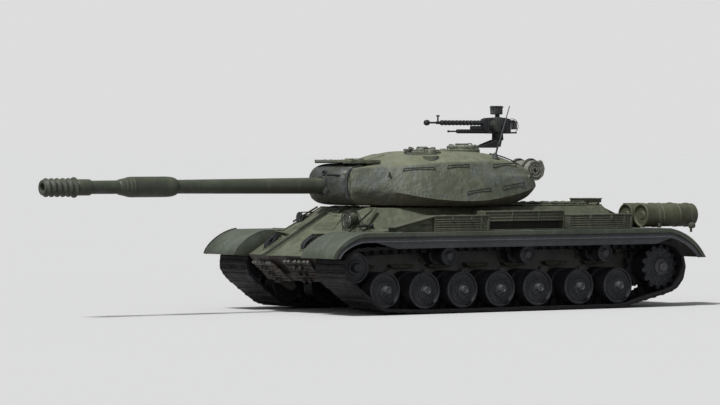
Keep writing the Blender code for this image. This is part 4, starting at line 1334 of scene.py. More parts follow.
# %% [markdown]
# ## The bow
#
# Two thick plates meet in a ridge along the middle of the bow and fall away to each side. Fittings
# on such a sloped plate are easiest to model flat, as if the plate were level. Then each point is
# lifted by the plate's height below it. Welds run along the ridge and the outer edges, a raised
# panel lies on each plate, and a low rail sheds water to the side.


# %% Laying pieces on the bow
def bow_height(x, y):
    """The height of the bow plates at a place."""
    return 50.0 + 0.586 * (92.5 - x) - 0.165 * abs(y)


def on_bow(obj):
    """Lifts a piece that was modelled level onto the bow plates."""
    for vertex in obj.data.vertices:
        vertex.co.z += bow_height(vertex.co.x / MM, vertex.co.y / MM) * MM
    return obj


def weld(points, radius=0.55):
    """A weld bead with small ripples along its run."""
    path = [Vector(p) for p in points]
    beads = []
    for start, end in zip(path, path[1:]):
        steps = max(2, int((end - start).length / 1.6))
        for step in range(steps):
            t = step / steps
            wobble = 0.12 * math.sin(step * 2.4)
            beads.append(start.lerp(end, t) + Vector((0, 0, wobble)))
    beads.append(path[-1])
    return wire(beads, radius, plate_paint, 8)


def bow_plate_fittings():
    """What lies on the left bow plate."""
    panel = [(35.4, 4.0), (28.8, 22.8), (45.2, 30.6), (51.2, 9.6)]
    pieces = [
        on_bow(plate(panel, "Z", -0.3, 0.75, 0.3)),
        on_bow(bar((29.2, 30.6), (0.6, 14.0), (0.0, 0.9), 0.25)),
    ]
    corners = [(34.6, 3.2), (27.6, 23.2), (45.6, 31.8), (52.2, 8.8), (34.6, 3.2)]
    seam = [(x, y, bow_height(x, y) + 0.05) for x, y in corners]
    pieces += [
        weld(seam, 0.35),
        weld([(78.7, 51.2, bow_height(78.7, 51.2)), (45.4, 50.8, 69.6), (8.6, 40.6, 91.6)], 0.6),
        weld([(9, 40.4, 91.7), (9, 26, 91.7)], 0.45),
    ]
    start, end = (58.4, 20.6), (47.4, 54.4)
    foot = [Vector((x, y, bow_height(x, y) - 0.3)) for x, y in (start, end)]
    pieces.append(beam(*foot, 0.9, 4.0, (0.5, 0.16, 0.85)))
    for share in (0.02, 0.35, 0.68):
        spot = foot[0].lerp(foot[1], share)
        gusset = [(0, 0), (0, 3.4), (-3.6, 0.0)]
        piece = plate(gusset, "Y", -0.35, 0.35, 0)
        pieces.append(placed(piece, spot, (0.863, 0.0, -0.505), (0.505, 0, 0.863)))
    return pieces


def tow_hook():
    """A cast hook with a spring latch, on the left plate near the nose."""
    base = on_bow(plate([(61, 24), (77, 24.6), (77, 33.4), (61, 34)], "Z", -0.3, 1.2, 0.4))
    hook = [(60, 0.6), (75.4, 0.6), (76.6, 2.4), (76.4, 5.0), (74.6, 6.8), (70.4, 7.6), (66.6, 7.2),
        (62.4, 5.4)]
    middle = 29.0
    claw = on_bow(plate(hook, "Y", middle - 2.4, middle + 2.4, 0.6, gun_steel))
    claw = cut(claw, on_bow(turned([(middle - 6, 1.3), (middle + 6, 1.3)], "Y", (71.0, 0, 4.2),
        20)))
    latch_strip = on_bow(bar((64.5, 70.6), about(middle, 1.0), (6.6, 8.2), 0.2, gun_steel))
    pieces = [base, claw, latch_strip]
    for x, y in ((63, 26), (63, 32.2), (75.4, 26.2), (75.4, 32)):
        pieces.append(bolt_heads([(x, y, bow_height(x, y) + 1.1)], "Z", 0.9, 0.8))
    return pieces


def cheek_strip():
    """The flat strip down the cheek beside the bow plate."""
    outward_of_cheek = (408, 1273.6, 1392)
    return [beam((9.0, 45.3, 91.4), (29.0, 55.3, 78.0), 2.6, 0.8, outward_of_cheek)]


bow_pieces = [weld([(91.6, 0, 50.6), (56.0, 0, 71.4), (23.0, 0, 90.8)], 0.75)]
for side_name, side in SIDES:
    bow_pieces.append(for_side(joined(bow_plate_fittings() + tow_hook() + cheek_strip(),
        plate_paint), side))
nose_line = [(78.8, -51.4, 50.3), (92.3, 0, 50.3), (78.8, 51.4, 50.3)]
bow_pieces.append(weld(nose_line, 0.6))
fitted("bow_fittings", bow_pieces, "hull")


# %% [markdown]
# ## Driver's periscope and horn bar
#
# The driver looks out through a hooded periscope. Beside the headlight, a rod on two small
# brackets carries the marker lamp.

# %% Driver's periscope and horn bar
def driver_periscope():
    hood = [(17.4, 91.0), (17.4, 92.6), (19.0, 93.1), (24.4, 93.1), (26.4, 90.2), (27.4, 87.6),
        (22.0, 89.5)]
    pieces = [
        plate(hood, "Y", -3.4, 13.4, 0.35),
        plate([(25.0, 92.3), (26.3, 90.3), (26.9, 90.5), (25.5, 92.7)], "Y", -1.6, 11.6, 0.1,
            sight_glass),
        bar((20.2, 23.4), (-1.5, 2.5), (92.8, SWEPT_TOP), 0.1, tool_steel),
        bar((20.2, 23.4), (7.0, 11.0), (92.8, SWEPT_TOP), 0.1, tool_steel),
    ]
    for y in (-3.0, 13.0):
        pieces.append(bolt_heads([(19.0, y + (0.9 if y < 0 else -0.9), 92.9)], "Z", 0.5, 0.25))
    return pieces


def horn_bar():
    """A rod for a marker lamp, on two small brackets beside the headlight."""
    pieces = [
        rod((20.6, 55.0, 76.4), (35.4, 55.0, 76.4), 1.15, 14, tool_steel),
        turned([(-1.6, 1.5), (-1.4, 1.8), (0.4, 1.8), (0.8, 1.4)], "X", (21.0, 55.0, 76.4), 20,
            material=gun_steel),
    ]
    for x in (24.0, 32.6):
        pieces += [
            bar(about(x, 0.7), (54.3, 55.7), (71.2, 76.2), 0.2),
            bar(about(x, 1.4), (53.4, 57.4), (71.2, 72.1), 0.2),
        ]
    return pieces


fitted("driver_periscope", driver_periscope(), "hull", finish=plate_paint)
fitted("marker_bar", horn_bar(), "hull", finish=plate_paint)

# %% [markdown]
# ## Headlight and horn
#
# The headlight stands on the left plate, in a cage of bent rods that keeps branches off. The horn
# has the same cage on the right. The lamp's shell and the horn's bell are turned, and the rods
# follow paths with rounded corners.


# %% The lamps in their cages
def cage(x, y, z, reach):
    """Bent rods over a lamp: two bows along it, one across, and feet on the plate."""
    rods = []
    rear = (x - 8.4, y, bow_height(x - 8.4, y) + 0.2)
    for turn in (-0.55, 0.0, 0.55):
        dy = reach * math.sin(turn)
        front_foot = (x + 6.6, y + dy, bow_height(x + 6.6, y + dy) + 0.2)
        corners = [front_foot, (x + 7.2, y + dy * 0.9, z + 0.0), (x + 4.6, y + dy * 0.6, z + reach),
            (x - 5.0, y + dy * 0.5, z + reach), (rear[0], y + dy,
            bow_height(rear[0], y + dy) + 0.2)]
        rods.append(wire(rounded_path(corners, 3.0), 0.42, tool_steel))
    ring = circle_of(28, reach, "X", (x + 5.4, y, z))
    rods.append(wire(ring, 0.42, tool_steel, closed=True))
    return rods


def headlight():
    x, y, z = 36.0, 46.0, 81.8
    shell = [(-6.0, 1.2), (-5.6, 2.6), (-4.4, 4.0), (-2.4, 5.1), (0.6, 5.6), (2.8, 5.6), (3.0, 6.0),
        (4.1, 6.0), (4.4, 5.6), (4.4, 5.0), (3.8, 4.9)]
    pieces = [turned(shell, "X", (x, y, z), 40)]
    glass = [(3.5, 4.9), (4.2, 4.6), (4.9, 3.4), (5.2, 1.6), (5.3, 0.3)]
    pieces += [
        turned(glass, "X", (x, y, z), 36, material=lamp_glass, smooth=60),
        rod((x - 0.4, y, bow_height(x, y) - 0.5), (x - 0.4, y, z - 4.6), 1.3, 16),
        turned([(0, 3.2), (1.0, 3.0), (1.4, 2.2)], "Z", (x - 0.4, y, bow_height(x, y) - 0.3), 20),
        wire(rounded_path([(x - 5.6, y, z), (x - 8.4, y + 0.6, z - 1.6),
            (x - 8.0, y + 1.4, bow_height(x - 8, y + 1.4))], 1.6), 0.35, case_black),
    ]
    return pieces + cage(x, y, z, 7.4)


def signal_horn():
    x, y, z = 28.0, -40.0, 82.4
    bell = [(-6.6, 1.4), (-6.0, 2.2), (-3.6, 2.4), (-3.2, 1.5), (-0.6, 1.7), (2.2, 2.4), (4.2, 3.8),
        (4.7, 4.4), (4.6, 4.1), (3.6, 2.6), (2.4, 1.8)]
    pieces = [
        turned(bell, "X", (x, y, z), 32, material=gun_steel),
        rod((x - 4.8, y, bow_height(x - 4.8, y) - 0.5), (x - 4.8, y, z - 1.8), 1.1, 14),
        turned([(0, 2.8), (0.9, 2.6), (1.2, 2.0)], "Z", (x - 4.8, y, bow_height(x - 4.8, y) - 0.3),
            20),
    ]
    return pieces + cage(x - 1.0, y, z - 0.4, 5.0)


fitted("headlight.caged", headlight(), "hull", ["headlight"], plate_paint)
fitted("signal_horn.caged", signal_horn(), "hull", ["signal_horn"], plate_paint)


# %% [markdown]
# ## Spare links, and the driver's hatch
#
# Spare track links hang across the lower bow in two groups, held by a rail. They are rusty, with
# their pin eyes bright. A group is modelled flat, with its width along X, its height along Y and
# its thickness along Z, then laid on the plate.


# %% Spare links on the lower bow
LINK_ROWS = 3
link_bright = dirty_steel("link_bright", (0.10, 0.10, 0.09), (0.16, 0.15, 0.13), 0.5, metal=0.2)


def link_group(width):
    pieces = []
    row = 26.0 / LINK_ROWS
    for number in range(LINK_ROWS):
        top = number * row
        pieces.append(bar((-width / 2, width / 2), (top + 1.0, top + row - 0.6), (1.0, 3.2), 0.3))
        for x in (-width / 2 + 1.6, -width / 6, width / 6, width / 2 - 1.6):
            pieces.append(turned([(-1.4, 1.3), (1.4, 1.3)], "X", (x, top + 0.8, 2.4), 10,
                smooth=60))
        for x in (-width / 3, 0.0, width / 3):
            pieces.append(turned([(-1.7, 1.15), (1.7, 1.15)], "X", (x, top + row - 0.6, 2.2), 10,
                smooth=60))
        for x in (-3.4, 3.4):
            pieces.append(plate([(top + 2.0, 3.0), (top + row - 1.6, 3.0), (top + row - 2.8, 7.2),
                (top + 3.4, 7.2)], "X", x - 1.1, x + 1.1, 0.3))
        pieces.append(bar((-width / 2 + 1, width / 2 - 1), (top + row / 2 - 0.5,
            top + row / 2 + 0.5), (3.0, 4.2), 0.25))
    for share in (-0.44, -0.30, -0.06, 0.10, 0.30, 0.44):
        x = share * width
        pieces.append(bar(about(x, 1.5), (-1.3, 0.7), (1.4, 3.8), 0.3, link_bright))
    return pieces


def laid_on_nose(y_low, y_high, rise):
    """A group of links between two places across the bow, facing forwards and down."""
    top_low, top_high = (Vector((92.5 - 13.5 * abs(y) / 52 - 0.6, y, 48.6)) for y in (y_low,
        y_high))
    across = (top_high - top_low).normalized()
    middle = (top_low + top_high) / 2
    down = (Vector((58.5, middle.y, 27.5)) - middle).normalized()
    out = down.cross(across).normalized()
    down = across.cross(out)
    group = joined(link_group((top_high - top_low).length), link_rust)
    turn = Matrix((across, down, out)).transposed().to_4x4()
    group.data.transform(Matrix.Translation((middle + down * 2.0 + out * rise) * MM) @ turn)
    if turn.determinant() < 0:
        group.data.flip_normals()
    return group


links_laid = [laid_on_nose(-38.0, 4.0, 2.4), laid_on_nose(17.0, 46.0, 0.2)]
fitted("spare_track_links.racked", links_laid, "hull", ["spare_track_links"])


# %% [markdown]
# ## Driver's hatch
#
# The driver's lid swings aside, so it is a piece of its own on the hatch's body.

# %% Driver's hatch
def driver_hatch():
    lid = [(-1.0, -15.0), (3.0, -19.0), (6.0, -20.4), (11.0, -20.4), (13.6, -16.0), (18.0, -1.0),
        (17.0, 5.0), (14.0, 12.0), (9.0, 16.0), (1.0, 15.8), (-1.0, 14.0)]
    pieces = [plate(lid, "Z", 91.95, 92.75, 0.25)]
    inner = [(x * 0.74 + 2.2, y * 0.74) for x, y in lid]
    pieces += [
        plate(inner, "Z", 92.6, 93.0, 0.15),
        turned([(92.6, 2.4), (93.0, 2.3), (93.15, 1.6)], "Z", (9.0, -17.0, 0), 24),
        bar((3.0, 8.0), (2.0, 9.0), (92.9, 93.15), 0.1, tool_steel),
        bolt_heads([(0.8, y, 92.7) for y in (-12, -4, 4, 12)], "Z", 0.55, 0.3),
    ]
    return pieces


fitted("driver_hatch.lid", driver_hatch(), "driver_hatch", ["driver_hatch"],
    plate_paint)

# %% [markdown]
# ## Below the mudguards, and behind
#
# Under the mudguards, swing arms carry the road wheels, rubber stops catch them from above, and
# small brackets carry the rollers. The rear plate has two bolted covers, hooks and a tail lamp.


# %% Running gear brackets
def running_gear_brackets():
    pieces = []
    for number in range(1, 8):
        x, z, _ = wheel_place(f"road_wheel_left_{number}")
        pieces += [
            beam((x - 15.5, 55.6, 26.0), (x + 1.0, 55.6, z), 4.6, 6.4, (0, 0, 1), track_steel, 1.0),
            turned([(51.6, 5.6), (58.6, 5.6), (59.4, 4.8)], "Y", (x - 15.0, 0, 27.8), 28),
            turned([(54.0, 3.9), (60.4, 3.9)], "Y", (x, 0, z), 24),
        ]
        stop = [(x - 12.5, 42.2), (x + 12.5, 42.2), (x + 11.4, 39.4), (x + 5.2, 38.4),
            (x - 5.2, 38.4), (x - 11.4, 39.4)]
        pieces += [
            plate(stop, "Y", 51.8, 59.6, 0.5, stop_paint),
            bolt_heads([(x + dx, 59.5, 40.7) for dx in (-9, -3, 3, 9)], "Y", 0.8, 0.7, stop_paint),
        ]
    for number in (1, 2, 3):
        x, z, _ = wheel_place(f"return_roller_left_{number}")
        pieces += [
            bar(about(x, 4.6), (51.8, 60.8), (z - 3.6, z + 0.6), 0.5, bracket_paint),
            bar(about(x, 6.0), (51.8, 54.4), (z - 6.5, z + 3.5), 0.5, bracket_paint),
            turned([(52, 3.4), (61.6, 3.0)], "Y", (x, 0, z), 20),
        ]
    x, z, _ = wheel_place("idler_left")
    pieces += [
        beam((x - 18, 55.0, 40.0), (x + 2, 55.0, z - 2.5), 4.0, 5.0, (0, 0, 1), track_steel, 0.8),
        turned([(51.8, 6.4), (59.4, 6.0), (61.6, 3.2)], "Y", (x, 0, z), 28),
    ]
    x, z, _ = wheel_place("drive_sprocket_left")
    pieces += [
        beam((x + 13, 57.0, 47.0), (x + 26, 57.0, 53.0), 5.6, 1.0, (-0.4, 0, 1), bracket_paint),
        bar((x + 22, x + 27), (51.8, 60.0), (47.5, 52.8), 0.4, bracket_paint),
    ]
    return pieces


stop_paint = weathered_paint("stop_paint", (0.040, 0.040, 0.028), (0.080, 0.078, 0.052),
    (0.110, 0.105, 0.078), top_dust_and_light=0.4)
bracket_paint = weathered_paint("bracket_paint", (0.070, 0.072, 0.056), (0.120, 0.122, 0.098),
    (0.160, 0.162, 0.130), top_dust_and_light=0.5)
brackets = []
for side_name, side in SIDES:
    brackets.append(for_side(joined(running_gear_brackets(), track_steel), side))
fitted("running_gear_brackets", brackets, "hull")


# %% [markdown]
# ## Rear plate fittings
#
# The sloping rear plate carries round bolted covers and strapped hinges. They are drawn level,
# and then laid on the slope.

# %% Rear plate fittings
def rear_fittings():
    """Covers on the sloped rear plate, drawn level and then laid on it."""
    down_slope, up_slope = (-0.928, 0, -0.371), (-0.371, 0, 0.928)
    cover = turned([(-0.4, 9.0), (0.7, 9.0), (1.1, 8.5), (1.1, 3.2), (1.9, 2.8), (1.9, 0.6)], "Z",
        (0, 0, 0), 44)
    bolts = bolt_heads(circle_of(10, 7.6, "Z", (0, 0, 1.0)), "Z", 0.65, 0.6)
    pieces = [placed(joined([cover, bolts], plate_paint), (-276.0, 22.0, 76.2), down_slope,
        up_slope)]
    for y in (8.0, 36.0):
        hinge = rod((0, -3, 0.8), (0, 3, 0.8), 0.9, 12)
        strap = bar((0, 9), (-2, 2), (-0.4, 0.9), 0.25)
        pieces.append(placed(joined([hinge, strap], plate_paint), (-258.6, y, 83.2), down_slope,
            up_slope))
    hook = [(-298.6, 62), (-298.6, 53), (-303.0, 53), (-305.6, 55), (-305.6, 58.4), (-303.4, 59.6),
        (-301.6, 58.6), (-302.2, 57.0), (-301.0, 56.2), (-300.6, 62)]
    pieces += [
        plate(hook, "Y", 32.0, 35.6, 0.5),
        bar((-300.2, -298.6), (28.6, 39.0), (51.6, 63.4), 0.4),
        beam((-276, 44.4, 76.0), (-276, 44.4, 91.6), 2.0, 1.2, (1, 0, 0), box_paint),
        bar((-281.5, -270.5), (42.4, 46.6), (90.6, 93.6), 0.3, box_paint),
    ]
    return pieces


rear_pieces = []
for side_name, side in SIDES:
    rear_pieces.append(for_side(joined(rear_fittings(), plate_paint), side))
lamp_case = [
    turned([(0, 2.6), (4.4, 2.6), (4.6, 2.2)], "X", (-309.5, 96.5, 73.6), 20, material=box_paint),
    turned([(-1.2, 1.2), (-0.8, 1.9), (0.2, 2.1)], "X", (-309.5, 96.5, 73.6), 20,
        material=tail_red),
    bar((-308, -306), (95.2, 96.6), (67.5, 72.0), 0.2, box_paint),
]
fitted("rear_fittings", rear_pieces, "hull")
fitted("tail_lamp", lamp_case, "hull")
# %% [markdown]
# ## The turret
#
# The turret is one big casting: wide and flat, with a sharp crease low down, a dark undercut below
# it, and a long back. A cylinder with many rings is a good start for it. Each ring is one
# cross-section, and a short table says how wide and how high the casting is there. Between the
# table's rows the numbers follow a smooth curve, so that the casting has no flats. Then the
# openings are cut: the recess that the mantlet rolls in, the gun's slot and the two hatchways.


# %% The casting's sections
# Place along the tank, half width and height of the crease, half width and height of the
# underside, height and half width of the roof.
CASTING = (
    (25.4, 29.4, 108.6, 25.0, 97.6, 127.0, 23.0),
    (24.2, 31.6, 108.6, 25.6, 96.4, 127.8, 23.6),
    (21.0, 34.0, 108.5, 26.6, 95.2, 128.6, 24.2),
    (15.0, 37.4, 108.3, 28.4, 94.2, 129.4, 25.0),
    (6.3, 42.0, 108.0, 32.4, 93.8, 130.2, 26.5),
    (-1.0, 46.5, 107.2, 37.0, 93.6, 131.2, 28.0),
    (-12.0, 54.0, 105.0, 44.0, 93.4, 131.8, 31.0),
    (-31.0, 66.0, 100.8, 55.0, 93.0, 136.8, 37.0),
    (-53.0, 74.0, 98.4, 62.5, 92.8, 141.0, 43.0),
    (-78.0, 77.0, 97.8, 65.5, 92.6, 141.4, 43.0),
    (-103.0, 74.5, 99.8, 62.5, 92.8, 141.1, 37.0),
    (-128.0, 67.0, 103.2, 55.0, 93.6, 139.7, 34.0),
    (-146.0, 60.0, 106.2, 42.0, 95.0, 135.4, 30.0),
    (-161.0, 51.0, 108.6, 34.0, 98.2, 130.0, 27.0),
    (-170.0, 42.0, 110.0, 28.0, 101.4, 123.4, 23.0),
    (-177.5, 31.0, 110.6, 21.0, 105.2, 115.6, 17.0),
    (-181.5, 20.0, 110.4, 14.0, 108.0, 112.0, 12.0),
)
RINGS_BETWEEN = 5


def smooth_between(a, b, c, d, t):
    """The smooth curve through b and c, with a and d beyond them."""
    return 0.5 * (2 * b + (c - a) * t + (2 * a - 5 * b + 4 * c - d) * t * t
        + (3 * b - a - 3 * c + d) * t**3)


def casting_rows():
    """The table's rows with smooth ones between them."""
    rows = []
    last = len(CASTING) - 1
    for number in range(last):
        picked = [CASTING[min(last, max(0, number + k))] for k in (-1, 0, 1, 2)]
        for step in range(RINGS_BETWEEN):
            rows.append([smooth_between(*four, step / RINGS_BETWEEN) for four in zip(*picked)])
    return rows + [list(CASTING[last])]


def spline(points, t):
    """A point of the smooth curve that leans on the given points, for t from 0 to 1."""
    count = len(points) - 2
    part = min(count - 1, int(t * count))
    t = t * count - part
    a, b, c = (Vector(point) for point in points[part : part + 3])
    start = a if part == 0 else (a + b) / 2
    end = c if part == count - 1 else (b + c) / 2
    return (1 - t) ** 2 * start + 2 * t * (1 - t) * b + t * t * end


def side_points(row):
    """The points that the side leans on: flat up to a firm shoulder in front, round behind."""
    x, half, crease, _, _, roof, roof_half = row
    firm = min(1.0, max(0.0, (x + 130.0) / 45.0))
    rise = 0.78 + 0.10 * min(1.0, max(0.0, (x + 45.0) / 60.0))
    crest = Vector((roof_half + 0.46 * (half - roof_half), crease + rise * (roof - crease)))
    low, edge = Vector((half, crease)), Vector((roof_half, roof - 0.05 * (roof - crease)))
    out = Vector((1.4, 0.7)) * (1.6 - firm)
    near = 0.12 + 0.30 * (1 - firm)
    return [low, low.lerp(crest, 0.5) + out, crest.lerp(low, near) + out * 0.6, crest + out * 0.4,
        crest.lerp(edge, near), edge, Vector((0.55 * roof_half, roof - 0.2))]


def skin_point(row, share):
    """A point of a cross-section: share runs from 0 at the underside to 1 at the roof's middle."""
    _, half, crease, base_half, base, roof, _ = row
    if share < 0.10:
        return base_half * (0.55 + 0.45 * share / 0.10), base
    if share < 0.28:
        t = (share - 0.10) / 0.18
        return base_half + (half - base_half) * t**0.8, base + (crease - base) * t**1.3
    y, z = spline(side_points(row), min(1.0, (share - 0.28) / 0.60))
    if share <= 0.88:
        return y, z
    t = (share - 0.88) / 0.12
    return y * (1 - t), roof - (roof - z) * (1 - t) ** 2


SKIN_STEPS = 40


def casting_ring(row):
    """One closed ring of points, from the underside's middle up the left side and round."""
    half_ring = [skin_point(row, step / SKIN_STEPS) for step in range(SKIN_STEPS + 1)]
    left = [(row[0], y, z) for y, z in half_ring]
    right = [(row[0], -y, z) for y, z in half_ring[-2::-1]]
    return left + right


rows = casting_rows()
print(len(rows), "sections of", len(casting_ring(rows[0])), "points")


# %% [markdown]
# ## The casting and its openings
#
# The sections become one closed solid, and the openings are cut out of it.

# %% The casting and its openings
def skinned(loops, **smoothing):
    """A solid through closed loops of points: a cylinder's rings, each moved to its loop."""
    bpy.ops.mesh.primitive_cylinder_add(vertices=len(loops[0]), radius=1, depth=1,
        end_fill_type="NGON")
    obj = bpy.context.object
    mesh = obj.data
    bpy.ops.object.mode_set(mode="EDIT")
    bpy.ops.mesh.select_mode(type="EDGE")
    bpy.ops.mesh.select_all(action="DESELECT")
    done_editing()
    for edge in mesh.edges:
        low, high = (mesh.vertices[i].co.z for i in edge.vertices)
        edge.select = abs(low - high) > 0.5
    bpy.ops.object.mode_set(mode="EDIT")
    bpy.ops.mesh.subdivide(number_cuts=len(loops) - 2)
    done_editing()
    rings = {}
    for vertex in mesh.vertices:
        rings.setdefault(round((vertex.co.z + 0.5) * (len(loops) - 1)), []).append(vertex)
    for level, ring in rings.items():
        ring.sort(key=lambda v: math.atan2(v.co.y, v.co.x))
        for vertex, place in zip(ring, loops[level]):
            vertex.co = Vector(place) * MM
    return tidy_mesh(obj, smooth=38.0, **smoothing)


def casting():
    return skinned([casting_ring(row) for row in rows])


TRUNNION = Vector((11.3, 0.0, 111.0))
RECESS_RADIUS, RECESS_HALF = 22.4, 28.5


def mantlet_recess():
    outline = [(TRUNNION.x, TRUNNION.z)]
    for step in range(29):
        angle = math.radians(-80 + 188 * step / 28)
        outline.append((TRUNNION.x + RECESS_RADIUS * math.cos(angle),
            TRUNNION.z + RECESS_RADIUS * math.sin(angle)))
    return plate(outline, "Y", -RECESS_HALF, RECESS_HALF, 0)


CUPOLA = (-55.5, 25.0)
GUN_RING = (-135.0, -22.0)


def turret_casting():
    shell = casting()
    cut(shell, mantlet_recess())
    cut(shell, turned([(-29.6, 16.0), (29.6, 16.0)], "Y", TRUNNION, 56), "UNION")
    cut(shell, bar((-36, 40), (-10.8, 10.8), (97.6, 124.4), 0))
    for (x, y), radius in ((CUPOLA, 12.6), (GUN_RING, 11.1)):
        cut(shell, turned([(128, radius), (150, radius)], "Z", (x, y, 0), 48))
    painted(shell, cast_paint)
    return tidy_mesh(shell, smooth=38.0)


shell = turret_casting()
print("the casting has", len(shell.data.polygons), "faces")

# %% [markdown]
# ## What is fixed to the turret
#
# Two rings stand on the roof, round the hatches. A thin brow plate juts out over the mantlet,
# and keeps rain out of the gap. Bent hand rails are welded on the sides, for riders and for
# hanging kit. Their feet have to reach the curved skin, so a ray is cast from outside, and tells
# where the skin is.


# %% Rings on the roof
def hatch_collar(x, y, outer, inner, top, material=None):
    """A stepped ring round a hatchway, with bolts, and a ring of painted shade in the well."""
    material = material or cast_paint
    wall = [(outer + 1.2, 129.0), (outer + 0.8, top - 4.2), (outer, top - 3.6), (outer, top - 0.4),
        (outer - 0.4, top), (inner + 0.5, top), (inner, top - 0.5), (inner, 130.0)]
    bpy.ops.mesh.primitive_circle_add(vertices=64, radius=wall[0][0] * MM,
        location=(0, 0, wall[0][1] * MM))
    ring = settle(bpy.context.object)
    editing()
    for (radius, place), (new_radius, new_place) in zip(wall, wall[1:]):
        step = (0, 0, (new_place - place) * MM)
        bpy.ops.mesh.extrude_edges_move(TRANSFORM_OT_translate={"value": step})
        grow = new_radius / radius
        bpy.ops.transform.resize(value=(grow, grow, 1.0), center_override=(0, 0, new_place * MM))
    done_editing()
    tidy_mesh(ring)
    ring.data.transform(Matrix.Translation(Vector((x, y, 0)) * MM))
    painted(ring, material)
    well_shade = turned([(129.4, inner + 0.1), (130.2, inner + 0.1)], "Z", (x, y, 0), 48,
        material=shadow_black)
    bolts = bolt_heads(circle_of(16, outer - 1.6, "Z", (x, y, top - 0.1)), "Z", 0.55, 0.45,
        material)
    return [ring, well_shade, bolts]


def brow():
    """The thin plate over the mantlet, and the strips that weld it down."""
    left = [(31.4, 0), (31.0, 14), (28.4, 22), (24.2, 28.4), (10, 29.4), (-2, 29.8), (-7, 29.0)]
    right = [(x, -y) for x, y in left[:0:-1]]
    pieces = [plate(left + right, "Z", 132.6, 133.8, 0.35)]
    for side in (1, -1):
        rim = [(x, side * y) for x, y in left]
        for (ax, ay), (bx, by) in zip(rim, rim[1:]):
            low = 131.6 if ax > 30.9 else 130.7
            pieces.append(beam((ax - 0.4, ay - 0.5 * side, low), (bx - 0.4, by - 0.5 * side, low),
                0.9, 133.2 - low, bevel=0.15))
    pieces.append(bar((-9, 1.5), (-25.6, 25.6), (127.5, 133.2), 0.5))
    for x in (6.5, -4.0):
        pieces.append(plate([(x + 3.2, 133.7), (x - 3.8, 133.7), (x - 3.0, 135.0),
            (x + 2.2, 135.0)], "Y", -3.4, 3.4, 0.3))
    for y in (-20, -10, 10, 20):
        pieces.append(bolt_heads([(-5.0, y, 133.7), (20.0, y * 0.9, 133.7)], "Z", 0.6, 0.5))
    return pieces


# %% [markdown]
# ## Hand rails
#
# Rays from the side and from above find the casting's skin, so that the feet of each rail
# stand on it.

# %% Hand rails
def skin_hit(x, z, side):
    """Where a level ray from the side meets the casting, in millimetres."""
    start = Vector((x, side * 120.0, z)) * MM
    found, place, normal, _ = shell.ray_cast(start, Vector((0, -side, 0)))
    if not found:
        return None, None
    return place / MM, normal


def skin_top(x, y):
    """Where a ray from above meets the casting."""
    found, place, normal, _ = shell.ray_cast(Vector((x, y, 160.0)) * MM, Vector((0, 0, -1)))
    return (place / MM, normal) if found else (Vector((x, y, 135.0)), Vector((0, 0, 1)))


def hand_rail(x_front, z_front, x_rear, z_rear, side, stand=0.85):
    """A rail between two feet on the skin, its ends bent inwards and down."""
    front, front_normal = skin_hit(x_front, z_front - 1.4, side)
    rear, rear_normal = skin_hit(x_rear, z_rear - 1.4, side)
    out_front, out_rear = front + front_normal * stand, rear + rear_normal * stand
    up = Vector((0, 0, 2.2))
    corners = [front - front_normal * 0.5, out_front, out_front + up, out_rear + up, out_rear,
        rear - rear_normal * 0.5]
    return [wire(rounded_path(corners, 1.2), 0.5, gun_steel)]


RAILS = ((-18.5, 125.0, -44, 126.0), (-56.5, 127.4, -79.5, 128.5), (-110, 128.4, -143, 129.2),
    (-69, 104.6, -96, 107.6), (-112, 108.8, -143, 112.2))


def rails():
    pieces = []
    for side in (1, -1):
        for x_front, z_front, x_rear, z_rear in RAILS:
            pieces += hand_rail(x_front, z_front, x_rear, z_rear, side)
    return pieces


# %% [markdown]
# ## Sights, eyes and rear fittings
#
# The small fittings stand on the same skin: a domed periscope, the lifting eyes, and the rail
# down the back of the roof.

# %% Sights, eyes and rear fittings
def dome_sight(x, y):
    """The low domed periscope beside the commander's hatch."""
    base, _ = skin_top(x, y)
    low = base.z + 0.2
    profile = [(low - 3.4, 7.6), (low + 0.4, 7.4), (low + 1.0, 6.7), (low + 1.2, 5.4),
        (low + 5.0, 5.2), (low + 6.0, 4.6), (low + 6.4, 1.0)]
    pieces = [
        turned(profile, "Z", (x, y, 0), 36),
        bar((x + 2.2, x + 4.9), about(y, 2.4), (low + 3.2, low + 5.6), 0.3, sight_glass),
        bolt_heads(circle_of(8, 6.1, "Z", (x, y, low + 0.9)), "Z", 0.5, 0.5),
    ]
    return pieces


def lifting_eye(x, z, side):
    """A hook cast on the cheek: a small bent rod in a boss."""
    hit, normal = skin_hit(x, z, side)
    boss = turned([(-0.6, 2.2), (0.6, 2.0), (0.9, 1.2)], "Z", (0, 0, 0), 18)
    placed(boss, hit, (0, 0, 1), normal)
    out = hit + normal * 2.6
    hook = wire(rounded_path([hit, out + Vector((0, 0, -0.6)), out + Vector((0, 0, 2.4))], 1.0),
        0.7, gun_steel)
    return [boss, hook]


def rear_edge_rail():
    """The rail down the back of the roof, which the tarpaulin is tied to."""
    points = []
    for x in (-124, -132, -140, -148, -156, -163, -168):
        top, normal = skin_top(x, 33.0 if x > -150 else 26.0)
        points.append(top + normal * 1.1)
    rail = wire(points, 0.6, gun_steel)
    mirror = mirrored(rail)
    straps = []
    for y in (20.0, -20.0):
        top, _ = skin_top(-165, y)
        straps.append(bar((-168, -163), about(y, 1.4), (top.z - 1, top.z + 1.4), 0.3))
    return [rail, mirror] + straps


# Near-black paint for the plate under the casting's nose: painted shade in the gap over the deck.
underside_shade_paint = weathered_paint("underside_shade_paint", (0.030, 0.030, 0.026), (0.050, 0.046, 0.038),
    (0.070, 0.066, 0.056), top_dust_and_light=0.2)


